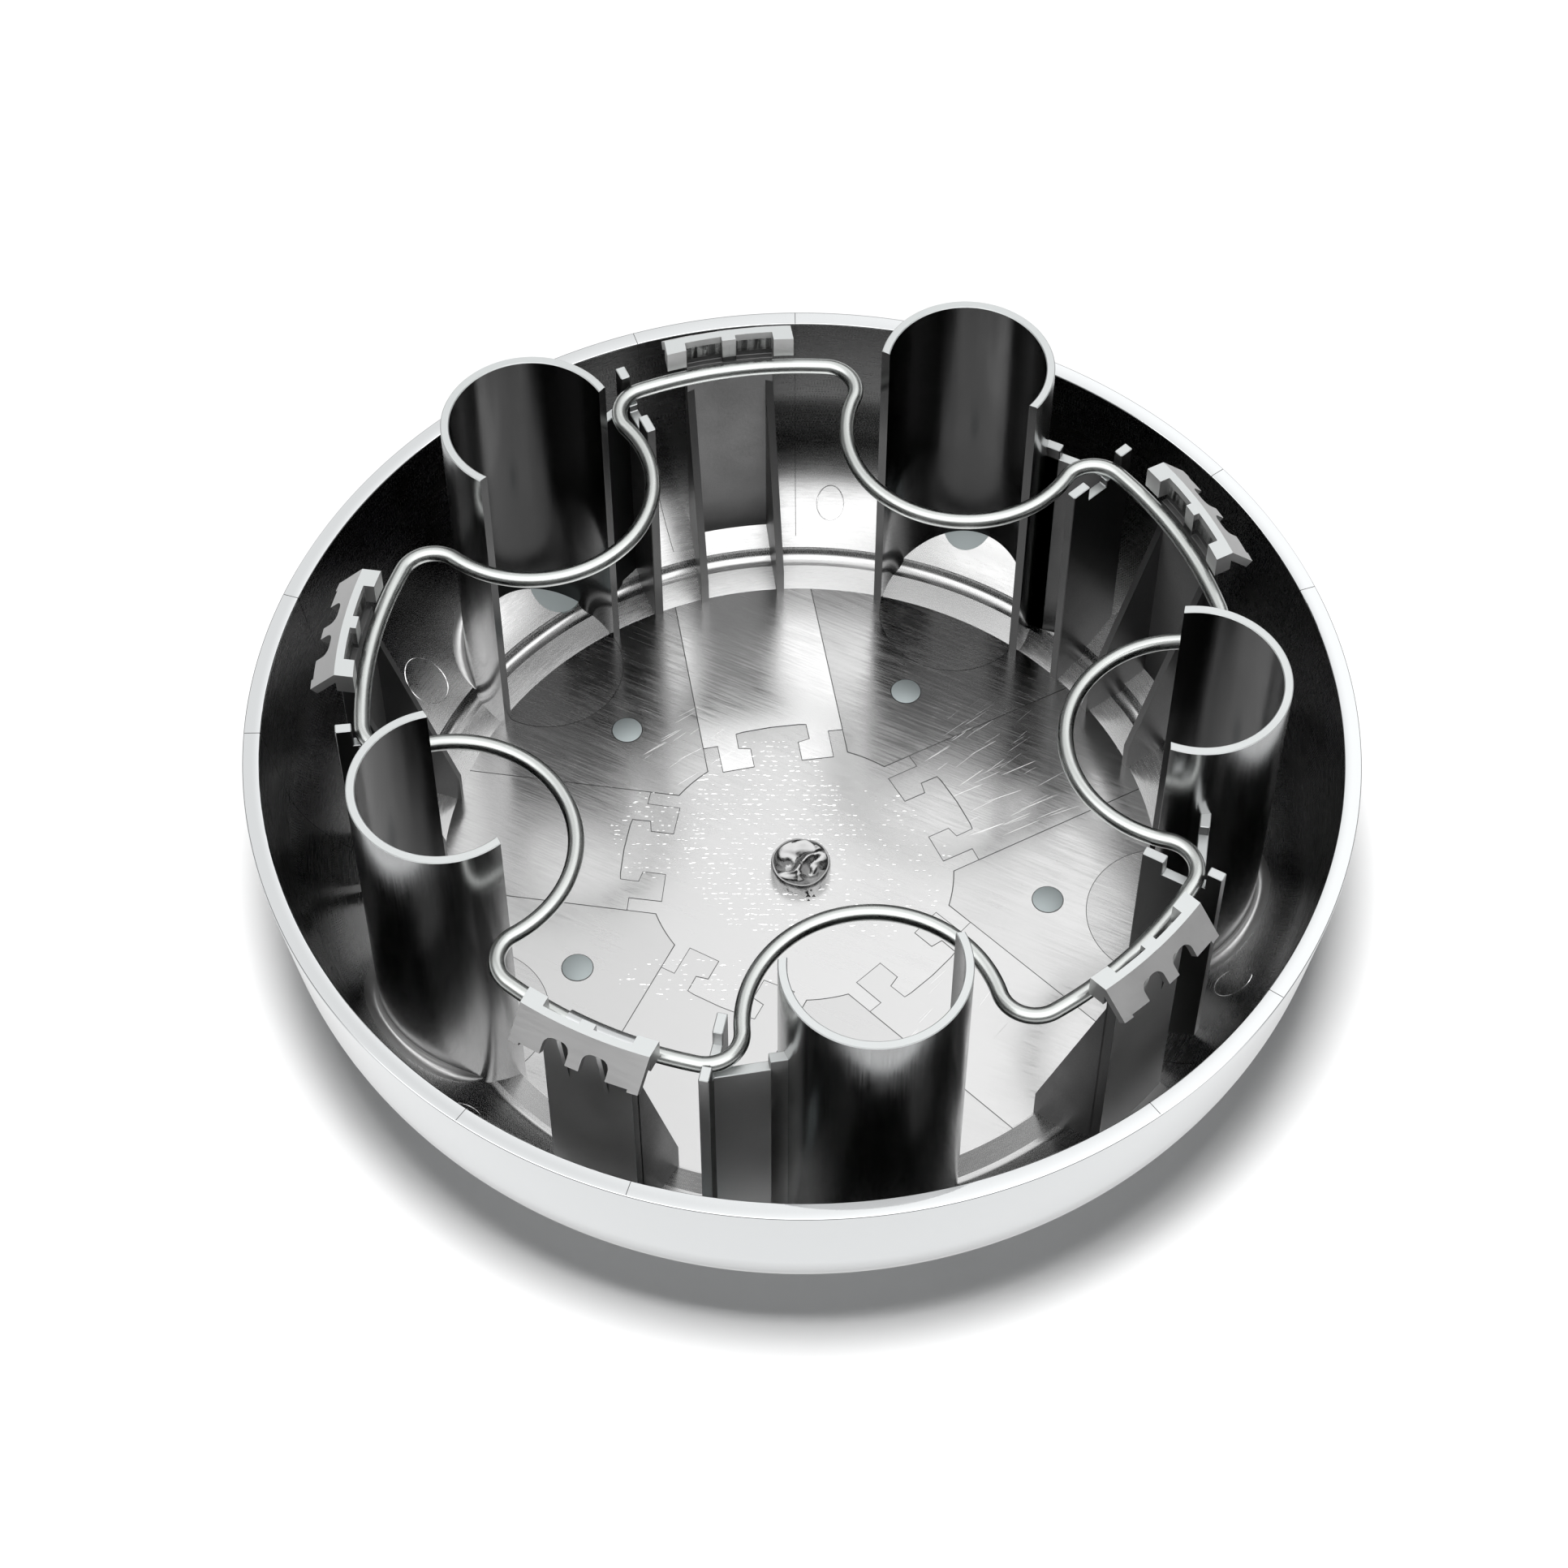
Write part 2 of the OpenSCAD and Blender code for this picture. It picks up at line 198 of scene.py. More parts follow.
def lofted(loops: Sequence[Sequence[Point3]]) -> Solid:
    """Joins loops of the same count into a closed bar, with a flat face at each end.

    Args:
        loops: The loops in order along the bar.

    Returns:
        Points and faces.
    """
    n = len(loops[0])
    points = [p for loop in loops for p in loop]
    faces: list[Face] = [tuple(range(n - 1, -1, -1)), tuple(range((len(loops) - 1) * n, len(loops) * n))]
    for j in range(0, len(points) - n, n):
        for k in range(n):
            m = (k + 1) % n
            faces.append((j + k, j + m, j + n + m, j + n + k))
    return points, faces


def plain(item: Object, sharp: float = 28.0) -> Object:
    """Turns an object and its modifiers into a plain mesh object of the same name, and removes the first one.

    Args:
        item: The object with its modifiers.
        sharp: Crisp edges from this angle.

    Returns:
        The plain object.
    """
    name = item.name
    item.name = name + "_source"
    mesh = bpy.data.meshes.new_from_object(item.evaluated_get(bpy.context.evaluated_depsgraph_get()))
    mesh.name = name
    bpy.data.objects.remove(item)
    shade(mesh, sharp)
    return placed(name, mesh)


def bevelled(item: Object, width: float, angle: float = 35.0) -> Object:
    """Breaks the sharp edges of a plate, because a moulded edge has a small radius that catches the light.

    Args:
        item: The object, which is removed.
        width: The bevel's width in millimetres.
        angle: Edges that turn more than this many degrees are broken.

    Returns:
        The plain object.
    """
    edge = item.modifiers.new("broken_edge", "BEVEL")
    edge.width = width * MM
    edge.segments = 1
    edge.limit_method = "ANGLE"
    edge.angle_limit = math.radians(angle)
    return plain(item)


def cut(item: Object, tools: Sequence[Object]) -> Object:
    """Cuts the tools' shapes out of an object, and removes the tools.

    Args:
        item: The object, which is removed.
        tools: The objects to cut with.

    Returns:
        The plain object.
    """
    for tool in tools:
        step = item.modifiers.new("cut", "BOOLEAN")
        step.operation = "DIFFERENCE"
        step.solver = "EXACT"
        step.object = tool
    made = plain(item)
    for tool in tools:
        bpy.data.objects.remove(tool)
    return made


def joined(name: str, items: Sequence[Object], sharp: float = 28.0) -> Object:
    """Puts several meshes into one object of that name.

    Args:
        name: The new object's name.
        items: The objects, which are removed.
        sharp: Crisp edges from this angle.

    Returns:
        The new object.
    """
    work = bmesh.new()
    for item in items:
        work.from_mesh(item.data)
        bpy.data.objects.remove(item)
    mesh = bpy.data.meshes.new(name)
    work.to_mesh(mesh)
    work.free()
    shade(mesh, sharp)
    return placed(name, mesh)


def path_object(name: str, routes: Sequence[Sequence[Point3]], cyclic: bool = False) -> Object:
    """Makes a curve object with one straight-stepped spline for each route.

    Args:
        name: The object's name.
        routes: The points of each route in millimetres.
        cyclic: Whether each route is closed.

    Returns:
        The curve object.
    """
    curve = bpy.data.curves.new(name, "CURVE")
    curve.dimensions = "3D"
    for route in routes:
        spline = curve.splines.new("POLY")
        spline.points.add(len(route) - 1)
        for point, place in zip(spline.points, route):
            point.co = (*(MM * c for c in place), 1.0)
        spline.use_cyclic_u = cyclic
    return placed(name, curve)


# ---- sizes, the same as the part's source


@dataclass(frozen=True)
class CapSizes:
    """Sizes of the moulding and its ring in millimetres."""

    rim_r: float = 83.0
    rim_h: float = 41.5
    rim_land: float = 2.6
    roll_r: float = 30.0
    side_lean: float = 7.0
    face_t: float = 3.0
    inner_roll_r: float = 26.6
    wall_shift: float = 0.6
    floor_r: float = 56.4
    bevel_w: float = 4.0
    bevel_h: float = 1.2
    groove_w: float = 0.5
    cove_r: float = 1.8
    lugs: int = 5
    first_lug: float = 90.0
    lug_circle_r: float = 57.15
    tube_r: float = 13.3
    tube_wall: float = 1.3
    tube_top: float = 64.0
    tube_open: float = 3.15
    wire_r: float = 1.2
    ring_z: float = 49.0
    ring_arc_r: float = 64.6
    loop_r: float = 18.2
    bend_r: float = 5.0
    ring_gap: float = 0.08
    sleeve_wall: float = 0.26

    @property
    def pitch(self) -> float:
        """Angle from one tube to the next."""
        return 360 / self.lugs

    @property
    def tangent(self) -> Point2:
        """Where the outside roll turns into the straight side."""
        lean = math.radians(self.side_lean)
        z = self.roll_r * (1 - math.sin(lean))
        return self.rim_r - (self.rim_h - z) * math.tan(lean), z

    @property
    def face_r(self) -> float:
        """Radius of the flat outside face."""
        return self.tangent[0] - self.roll_r * math.cos(math.radians(self.side_lean))

    @property
    def inner_c(self) -> Point2:
        """Centre of the inside roll, in radius and height."""
        return self.face_r + self.wall_shift, self.roll_r + self.wall_shift

    @property
    def post_in(self) -> float:
        """Inner radius of the clips' posts."""
        return self.ring_arc_r + self.wire_r + self.ring_gap + self.sleeve_wall + self.ring_gap

    def inner_z(self, r: float) -> float:
        """Height of the cap's inside surface at a radius."""
        if r <= self.floor_r:
            return self.face_t
        if r <= self.floor_r + self.bevel_w:
            return self.face_t + self.bevel_h * (r - self.floor_r) / self.bevel_w
        c = self.inner_c
        return c[1] - math.sqrt(max(0.0, self.inner_roll_r**2 - (r - c[0]) ** 2))

    def sole(self, r: float) -> float:
        """Height inside the wall, at a radius, where what stands on the shell ends."""
        rise = math.sqrt(max(0.0, self.roll_r**2 - (r - self.face_r) ** 2))
        outer = 0.0 if r <= self.face_r else self.roll_r - rise
        return (outer + self.inner_z(r)) / 2


SIZES = CapSizes()


# ---- finishes


class Cut(Enum):
    """How the mould's steel was worked, which the plate copies."""

    POLISHED = "polished"
    TURNED = "turned"
    STONED = "stoned"
    DRAWN = "drawn"
    SPARKED = "sparked"
    MATT = "matt"


@dataclass(frozen=True)
class PlatedFinish:
    """Bright chrome plate on moulded ABS, a neutral mirror that copies the mould's steel below it.

    Polished steel gives a clean mirror, turned and stoned steel give fine parallel lines, a reamed core gives
    lines along its length, and spark-eroded steel gives an even grain. Some finishes are painted darker as painted
    shade: in the tubes, up the inside wall and on the sides of the posts and guides; one is painted pale as
    painted light on faces that look outward. Real tool marks are 0.02 to 0.1 mm apart, too fine to show,
    so grain_mm draws them coarser, at 0.2 to 0.5 mm.
    """

    name: str
    cut: Cut
    colour: str = "d6d8d9"
    roughness: float = 0.06
    grain_mm: float = 0.5
    grain_height_mm: float = 0.003
    wear: float = 0.03  # how far the roughness drifts from place to place
    streak: float = 0.0  # how far it changes with each tool mark
    lay: float = 25.65  # degrees from +X that the stone was drawn along
    chatter_mm: float = 0.0  # spacing of a vibrating tool's cross-hatch
    chatter_r: float = 65.0  # radius in mm at which its two directions are equally far apart
    chatter_patch_mm: float = 7.0
    wear_patch_mm: float = 9.0
    turned_mm: float = 6.0  # length of a turned mark for each radian
    painted_shade_colour: str = ""  # painted shade: the colour the inside wall darkens to higher up
    painted_shade_mm: tuple[float, float] = (8.0, 19.0)  # heights between which the painted shade darkens the wall

    def grain(self, tree: NodeTree, place: NodeSocket) -> NodeSocket:
        """Adds the pattern of the tool marks.

        Args:
            tree: The material's tree.
            place: Object coordinates.

        Returns:
            The pattern's value, about 0.5 on average.
        """
        if self.cut is Cut.TURNED:
            x, y, z = add_node(tree, "ShaderNodeSeparateXYZ", {0: place}).outputs
            flat = add_node(tree, "ShaderNodeCombineXYZ", {"X": x, "Y": y})
            far = add_node(tree, "ShaderNodeVectorMath", {0: flat}, operation="LENGTH").outputs["Value"]
            angle = add_node(tree, "ShaderNodeMath", {0: y, 1: x}, operation="ARCTAN2").outputs[0]
            slow = add_node(tree, "ShaderNodeMath", {0: angle, 1: self.turned_mm * MM}, operation="MULTIPLY")
            place = add_node(tree, "ShaderNodeCombineXYZ", {"X": far, "Y": slow, "Z": z}).outputs[0]
        stretch = {Cut.STONED: (0.04, 1.0, 1.0), Cut.DRAWN: (1.0, 1.0, 0.03)}.get(self.cut, (1.0, 1.0, 1.0))
        lay = math.radians(-self.lay) if self.cut is Cut.STONED else 0.0
        turned = add_node(tree, "ShaderNodeMapping", {"Vector": place, "Rotation": (0.0, 0.0, lay), "Scale": stretch})
        noise = add_node(
            tree, "ShaderNodeTexNoise",
            {"Vector": turned, "Scale": 1 / (self.grain_mm * MM), "Detail": 4.0, "Roughness": 0.65},
        ).outputs["Fac"]
        return self.chatter(tree, place, far, angle, noise) if self.chatter_mm else noise

    def chatter(
        self, tree: NodeTree, place: NodeSocket, far: NodeSocket, angle: NodeSocket, noise: NodeSocket
    ) -> NodeSocket:
        """Adds the cross-hatch that a vibrating tool leaves in patches of the turned steel.

        Args:
            tree: The material's tree.
            place: Coordinates of distance, turn and height.
            far: Distance from the axis.
            angle: Angle about the axis.
            noise: The pattern that the hatch goes on.

        Returns:
            Both patterns' value.
        """
        waves = []
        for socket, spacing in ((far, self.chatter_mm * MM), (angle, self.chatter_mm / self.chatter_r)):
            phase = add_node(tree, "ShaderNodeMath", {0: socket, 1: 2 * math.pi / spacing}, operation="MULTIPLY")
            waves.append(add_node(tree, "ShaderNodeMath", {0: phase}, operation="SINE").outputs[0])
        hatch = add_node(tree, "ShaderNodeMath", {0: waves[0], 1: waves[1]}, operation="MULTIPLY")
        where = add_node(
            tree, "ShaderNodeTexNoise", {"Vector": place, "Scale": 1 / (self.chatter_patch_mm * MM), "Detail": 2.0}
        )
        share = add_node(
            tree, "ShaderNodeMapRange",
            {"Value": where.outputs["Fac"], "From Min": 0.4, "From Max": 0.65, "To Min": 0.02, "To Max": 0.2},
        )
        return add_node(tree, "ShaderNodeMath", {0: hatch, 1: share, 2: noise}, operation="MULTIPLY_ADD").outputs[0]

    def build(self) -> Material:
        """Builds the material.

        Returns:
            A node material that reads Object coordinates.
        """
        material = bpy.data.materials.new(self.name)
        tree = cleared_tree(material)
        place = add_node(tree, "ShaderNodeTexCoord").outputs["Object"]
        fine = self.grain(tree, place)
        broad = add_node(
            tree, "ShaderNodeTexNoise", {"Vector": place, "Scale": 1 / (self.wear_patch_mm * MM), "Detail": 3.0}
        )
        rough = add_node(
            tree, "ShaderNodeMapRange",
            {"Value": broad.outputs["Fac"], "From Min": 0.3, "From Max": 0.7,
             "To Min": max(0.01, self.roughness - self.wear), "To Max": self.roughness + self.wear},
        )
        dull = add_node(
            tree, "ShaderNodeMapRange",
            {"Value": fine, "From Min": 0.35, "From Max": 0.65, "To Min": -self.streak, "To Max": self.streak},
        )
        both = add_node(tree, "ShaderNodeMath", {0: rough, 1: dull}, operation="ADD", use_clamp=True)
        bump = add_node(
            tree, "ShaderNodeBump", {"Height": fine, "Distance": self.grain_height_mm * MM, "Strength": 1.0}
        )
        shader = add_node(
            tree, "ShaderNodeBsdfPrincipled",
            {"Base Color": linear(self.colour), "Metallic": 1.0, "Roughness": both, "Normal": bump},
        )
        # Painted shade: the colour darkens towards the top of the inside wall.
        if self.painted_shade_colour:
            low, high = (MM * z for z in self.painted_shade_mm)
            height = add_node(tree, "ShaderNodeSeparateXYZ", {0: place}).outputs["Z"]
            up = add_node(
                tree, "ShaderNodeMapRange", {"Value": height, "From Min": low, "From Max": high},
                interpolation_type="SMOOTHSTEP",
            )
            plate = add_node(
                tree, "ShaderNodeMix", {0: up, 6: linear(self.colour), 7: linear(self.painted_shade_colour)}, data_type="RGBA"
            )
            tree.links.new(plate.outputs[2], shader.inputs["Base Color"])
        add_node(tree, "ShaderNodeOutputMaterial", {"Surface": shader})
        return material


@dataclass(frozen=True)
class WireFinish:
    """Bright drawn spring steel: a grey metal with fine marks along its length.

    The die's real marks are about 0.05 mm apart and are drawn 0.3 mm apart, so that they show.
    """

    name: str = "drawn_spring_steel"
    colour: str = "c4c7c5"
    roughness: float = 0.27
    mark_mm: float = 0.3
    mark_height_mm: float = 0.004

    def build(self) -> Material:
        """Builds the material.

        Returns:
            A node material that reads Object coordinates.
        """
        material = bpy.data.materials.new(self.name)
        tree = cleared_tree(material)
        place = add_node(tree, "ShaderNodeTexCoord").outputs["Object"]
        along = add_node(tree, "ShaderNodeMapping", {"Vector": place, "Scale": (0.06, 0.06, 1.0)})
        marks = add_node(
            tree, "ShaderNodeTexNoise",
            {"Vector": along, "Scale": 1 / (self.mark_mm * MM), "Detail": 3.0, "Roughness": 0.6},
        ).outputs["Fac"]
        rough = add_node(
            tree, "ShaderNodeMapRange",
            {"Value": marks, "From Min": 0.3, "From Max": 0.7,
             "To Min": self.roughness - 0.05, "To Max": self.roughness + 0.07},
        )
        bump = add_node(tree, "ShaderNodeBump", {"Height": marks, "Distance": self.mark_height_mm * MM})
        shader = add_node(
            tree, "ShaderNodeBsdfPrincipled",
            {"Base Color": linear(self.colour), "Metallic": 1.0, "Roughness": rough, "Normal": bump},
        )
        add_node(tree, "ShaderNodeOutputMaterial", {"Surface": shader})
        return material


# ---- Geometry Nodes


def new_tree(name: str, **sockets: str) -> tuple[NodeTree, Node]:
    """Starts a Geometry Nodes tree with its named inputs, a finish and one geometry output.

    Args:
        name: The tree's name.
        **sockets: Kind of each input after the geometry, by its name, with _ for a space.

    Returns:
        The tree and its input node.
    """
    tree = bpy.data.node_groups.new(name, "GeometryNodeTree")
    for label, kind in {"Geometry": "Geometry", **sockets, "Finish": "Material"}.items():
        tree.interface.new_socket(label.replace("_", " "), in_out="INPUT", socket_type="NodeSocket" + kind)
    tree.interface.new_socket("Geometry", in_out="OUTPUT", socket_type="NodeSocketGeometry")
    return tree, add_node(tree, "NodeGroupInput")


def finish_tree(tree: NodeTree, source: Node, last: Node) -> None:
    """Ends a tree in Realize Instances and Set Material.

    Args:
        tree: The tree.
        source: Its input node, which has the finish.
        last: The node that gives the geometry so far.
    """
    real = add_node(tree, "GeometryNodeRealizeInstances", {0: last})
    dressed = add_node(tree, "GeometryNodeSetMaterial", {"Geometry": real, "Material": source.outputs["Finish"]})
    add_node(tree, "NodeGroupOutput", {0: dressed})


def repeat_tree() -> NodeTree:
    """Builds the tree that repeats a part round the cap's axis."""
    tree, source = new_tree("repeat_round_axis", Count="Int", First_Angle="Float")
    points = add_node(tree, "GeometryNodePoints", {"Count": source.outputs["Count"]})
    index = add_node(tree, "GeometryNodeInputIndex")
    pitch = add_node(tree, "ShaderNodeMath", {0: 2 * math.pi, 1: source.outputs["Count"]}, operation="DIVIDE")
    turn = add_node(
        tree, "ShaderNodeMath", {0: index, 1: pitch, 2: source.outputs["First Angle"]}, operation="MULTIPLY_ADD"
    )
    spin = add_node(tree, "ShaderNodeCombineXYZ", {"Z": turn})
    rotation = add_node(tree, "FunctionNodeEulerToRotation", {0: spin})
    copies = add_node(
        tree, "GeometryNodeInstanceOnPoints",
        {"Points": points, "Instance": source.outputs["Geometry"], "Rotation": rotation},
    )
    finish_tree(tree, source, copies)
    return tree


def sweep_tree() -> NodeTree:
    """Builds the tree that sweeps a round wire along a curve."""
    tree, source = new_tree("wire_along_path", Wire_Radius="Float", Sides="Int")
    round_ = add_node(
        tree, "GeometryNodeCurvePrimitiveCircle",
        {"Radius": source.outputs["Wire Radius"], "Resolution": source.outputs["Sides"]},
    )
    wire = add_node(
        tree, "GeometryNodeCurveToMesh",
        {"Curve": source.outputs["Geometry"], "Profile Curve": round_, "Fill Caps": True},
    )
    finish_tree(tree, source, wire)
    return tree


def scatter_tree() -> NodeTree:
    """Builds the tree that scatters short tilted flecks over a face, in rows along one direction."""
    tree, source = new_tree(
        "polish_flecks", Density="Float", Length="Float", Width="Float", Row="Float",
        Direction="Float", Spread="Float", Tilt="Float", Seed="Int",
    )
    points = add_node(
        tree, "GeometryNodeDistributePointsOnFaces",
        {"Mesh": source.outputs["Geometry"], "Density": source.outputs["Density"], "Seed": source.outputs["Seed"]},
    )
    cos = add_node(tree, "ShaderNodeMath", {0: source.outputs["Direction"]}, operation="COSINE")
    sin = add_node(tree, "ShaderNodeMath", {0: source.outputs["Direction"]}, operation="SINE")
    back = add_node(tree, "ShaderNodeMath", {0: sin, 1: -1.0}, operation="MULTIPLY")
    across = add_node(tree, "ShaderNodeCombineXYZ", {"X": back, "Y": cos})
    place = add_node(tree, "GeometryNodeInputPosition")
    step = add_node(tree, "ShaderNodeVectorMath", {0: place, 1: across}, operation="DOT_PRODUCT").outputs["Value"]
    row = add_node(tree, "ShaderNodeMath", {0: step, 1: source.outputs["Row"]}, operation="SNAP")
    move = add_node(tree, "ShaderNodeMath", {0: row, 1: step}, operation="SUBTRACT")
    some = add_node(tree, "ShaderNodeMath", {0: move, 1: 0.75}, operation="MULTIPLY")
    shift = add_node(tree, "ShaderNodeVectorMath", {0: across, "Scale": some}, operation="SCALE")
    rows = add_node(tree, "GeometryNodeSetPosition", {"Geometry": points, "Offset": shift})
    fleck = add_node(tree, "GeometryNodeMeshCircle", {"Vertices": 8, "Radius": 0.5}, fill_type="NGON")

    def chance(low: float, high: float, seed: int) -> NodeSocket:
        """A random number for each fleck, from a fixed seed."""
        node = add_node(tree, "FunctionNodeRandomValue", {"Seed": seed}, data_type="FLOAT")
        floats = [s for s in node.inputs if s.enabled and s.type == "VALUE"]
        floats[0].default_value, floats[1].default_value = low, high
        return next(s for s in node.outputs if s.enabled)

    size = chance(0.45, 1.25, 11)
    long = add_node(tree, "ShaderNodeMath", {0: size, 1: source.outputs["Length"]}, operation="MULTIPLY")
    wide = add_node(tree, "ShaderNodeMath", {0: size, 1: source.outputs["Width"]}, operation="MULTIPLY")
    scale = add_node(tree, "ShaderNodeCombineXYZ", {"X": long, "Y": wide, "Z": 1.0})
    turn = add_node(
        tree, "ShaderNodeMath", {0: chance(-1.0, 1.0, 12), 1: source.outputs["Spread"], 2: source.outputs["Direction"]},
        operation="MULTIPLY_ADD",
    )
    lean = add_node(tree, "ShaderNodeMath", {0: chance(0.3, 1.0, 13), 1: source.outputs["Tilt"]}, operation="MULTIPLY")
    spin = add_node(tree, "ShaderNodeCombineXYZ", {"X": lean, "Z": turn})
    rotation = add_node(tree, "FunctionNodeEulerToRotation", {0: spin})
    copies = add_node(
        tree, "GeometryNodeInstanceOnPoints",
        {"Points": rows, "Instance": fleck, "Rotation": rotation, "Scale": scale},
    )
    finish_tree(tree, source, copies)
    return tree


@dataclass
class Trees:
    """The node trees that the sub-assemblies share."""

    repeat: NodeTree = field(default_factory=repeat_tree)
    sweep: NodeTree = field(default_factory=sweep_tree)
    scatter: NodeTree = field(default_factory=scatter_tree)

    def run(self, item: Object, tree: NodeTree, sharp: float = 28.0, **values: object) -> Object:
        """Runs a tree on an object and returns the plain mesh that it makes.

        Args:
            item: The object that goes in, which is removed.
            tree: The tree.
            sharp: Crisp edges from this angle.
            **values: Inputs by name, with _ for a space.

        Returns:
            The plain object.
        """
        step = item.modifiers.new(tree.name, "NODES")
        step.node_group = tree
        sockets = {s.name: s.identifier for s in tree.interface.items_tree if getattr(s, "in_out", "") == "INPUT"}
        for name, value in values.items():
            step[sockets[name.replace("_", " ")]] = value
        return plain(item, sharp)


# ---- sub-assemblies


@dataclass
class Part:
    """What every sub-assembly shares: the sizes, the trees and the record's slot."""

    trees: Trees
    slot: str = "plated_shell"
    sizes: CapSizes = SIZES

    def carry(self, item: Object, material: Material | None = None) -> Object:
        """Gives a finished piece its material and its body, and reports it.

        Args:
            item: The piece.
            material: Its finish, unless it has one.

        Returns:
            The same piece.
        """
        if material is not None:
            item.data.materials.clear()
            item.data.materials.append(material)
        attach(item, "root")
        LOG.info("%s: %d faces", item.name, len(item.data.polygons))
        return item

    def patch(self, item: Object, material: Material, chosen: Callable[[Vector, Vector], bool]) -> None:
        """Gives another finish to some of a piece's faces.

        Args:
            item: The piece.
            material: The other finish.
            chosen: Test of a face's centre in millimetres and its normal.
        """
        item.data.materials.append(material)
        last = len(item.data.materials) - 1
        for face in item.data.polygons:
            if chosen(face.center / MM, face.normal):
                face.material_index = last

    def lug_distance(self, at: Vector) -> float:
        """Distance in millimetres from the nearest tube's axis, in the plane."""
        s = self.sizes
        step = round((math.degrees(math.atan2(at.y, at.x)) - s.first_lug) / s.pitch)
        x, y = polar(s.lug_circle_r, s.first_lug + s.pitch * step)
        return math.hypot(at.x - x, at.y - y)

    def facing_out(self, at: Vector, way: Vector) -> bool:
        """Whether a face looks away from the cap's axis."""
        return way.x * at.x + way.y * at.y > 0.7 * math.hypot(at.x, at.y)

    def wall(self, name: str, outline: Sequence[Point2], thick: float, mid: float = 0.0, turn: float = 0.0) -> Object:
        """A plate that stands in a plane through the axis, or beside it.

        Args:
            name: The object's name.
            outline: Radius and height of each corner.
            thick: The plate's thickness.
            mid: How far beside the axis its middle lies.
            turn: Degrees about the cap's axis.

        Returns:
            The plate.
        """
        c, s = math.cos(math.radians(turn)), math.sin(math.radians(turn))
        sides = (mid - thick / 2, mid + thick / 2)
        return make_object(name, *lofted([[(r * c - y * s, r * s + y * c, z) for r, z in outline] for y in sides]))

    def around(self, item: Object, first: float, material: Material, sharp: float = 28.0) -> Object:
        """Repeats a part once for each lug.

        Args:
            item: The part at angle 0, which is removed.
            first: Angle of the first copy in degrees.
            material: The copies' finish.
            sharp: Crisp edges from this angle.

        Returns:
            One piece of all the copies.
        """
        turn = math.radians(first)
        return self.carry(
            self.trees.run(item, self.trees.repeat, sharp, Count=self.sizes.lugs, First_Angle=turn, Finish=material)
        )


@dataclass
class Shell(Part):
    """The dish: outside face, rolled edge, leaning side and rim, with the bevel and cove inside."""

    segments: int = 360
    arc_steps: int = 40
    rim_round: float = 0.25

    def profile(self) -> list[Point2]:
        """The dish's closed outline, from the axis outside to the axis inside."""
        s = self.sizes
        lean, q = s.side_lean, self.rim_round
        inner_c = s.inner_c
        cove_c = (s.floor_r + s.bevel_w + s.groove_w, s.face_t + s.bevel_h + s.cove_r)
        dx, dz = cove_c[0] - inner_c[0], cove_c[1] - inner_c[1]
        d = math.hypot(dx, dz)
        along = (s.inner_roll_r**2 - s.cove_r**2 + d * d) / (2 * d)
        across = math.sqrt(s.inner_roll_r**2 - along**2)
        meet = (inner_c[0] + along * dx / d - across * dz / d, inner_c[1] + along * dz / d + across * dx / d)
        cove_end = math.degrees(math.atan2(meet[1] - cove_c[1], meet[0] - cove_c[0]))
        roll_start = math.degrees(math.atan2(meet[1] - inner_c[1], meet[0] - inner_c[0]))
        inner_rim = s.rim_r - s.rim_land
        outside = [(0.0, 0.0)] + [(s.face_r * k / 4, 0.0) for k in range(1, 4)]
        outside += arc_points(s.roll_r, -90, -lean, self.arc_steps, (s.face_r, s.roll_r))
        outside += arc_points(q, 0, 90, 4, (s.rim_r - q, s.rim_h - q))
        inside = arc_points(q, 90, 180, 4, (inner_rim + q, s.rim_h - q))
        inside += arc_points(s.inner_roll_r, -lean, roll_start, self.arc_steps, inner_c)
        inside += arc_points(s.cove_r, cove_end, -90, 12, cove_c)[1:]
        inside += [(s.floor_r + s.bevel_w, s.face_t + s.bevel_h), (s.floor_r, s.face_t)]
        inside += [(s.floor_r * k / 8, s.face_t) for k in range(7, 0, -1)] + [(0.0, s.face_t)]
        return outside + inside

    def build(self, mirror: Material, turned: Material, stoned: Material) -> Object:
        """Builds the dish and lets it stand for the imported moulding.

        Args:
            mirror: Finish of the outside and the rim.
            turned: Finish of the inside wall.
            stoned: Finish of the floor.

        Returns:
            The dish.
        """
        s = self.sizes
        profile = self.profile()
        points, faces = revolved(profile, self.segments)
        dish = make_object("dish_shell", points, faces, 14.0)
        for finish in (mirror, turned, stoned):
            dish.data.materials.append(finish)
        start = profile.index(max(profile, key=lambda p: (p[1], -p[0])))
        for k, face in enumerate(dish.data.polygons):
            j = k // self.segments
            r = (profile[j][0] + profile[j + 1][0]) / 2
            face.material_index = 0 if j <= start + 3 else (1 if r > s.floor_r else 2)
        self.carry(dish)
        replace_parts(dish, "cap_moulding")
        return dish


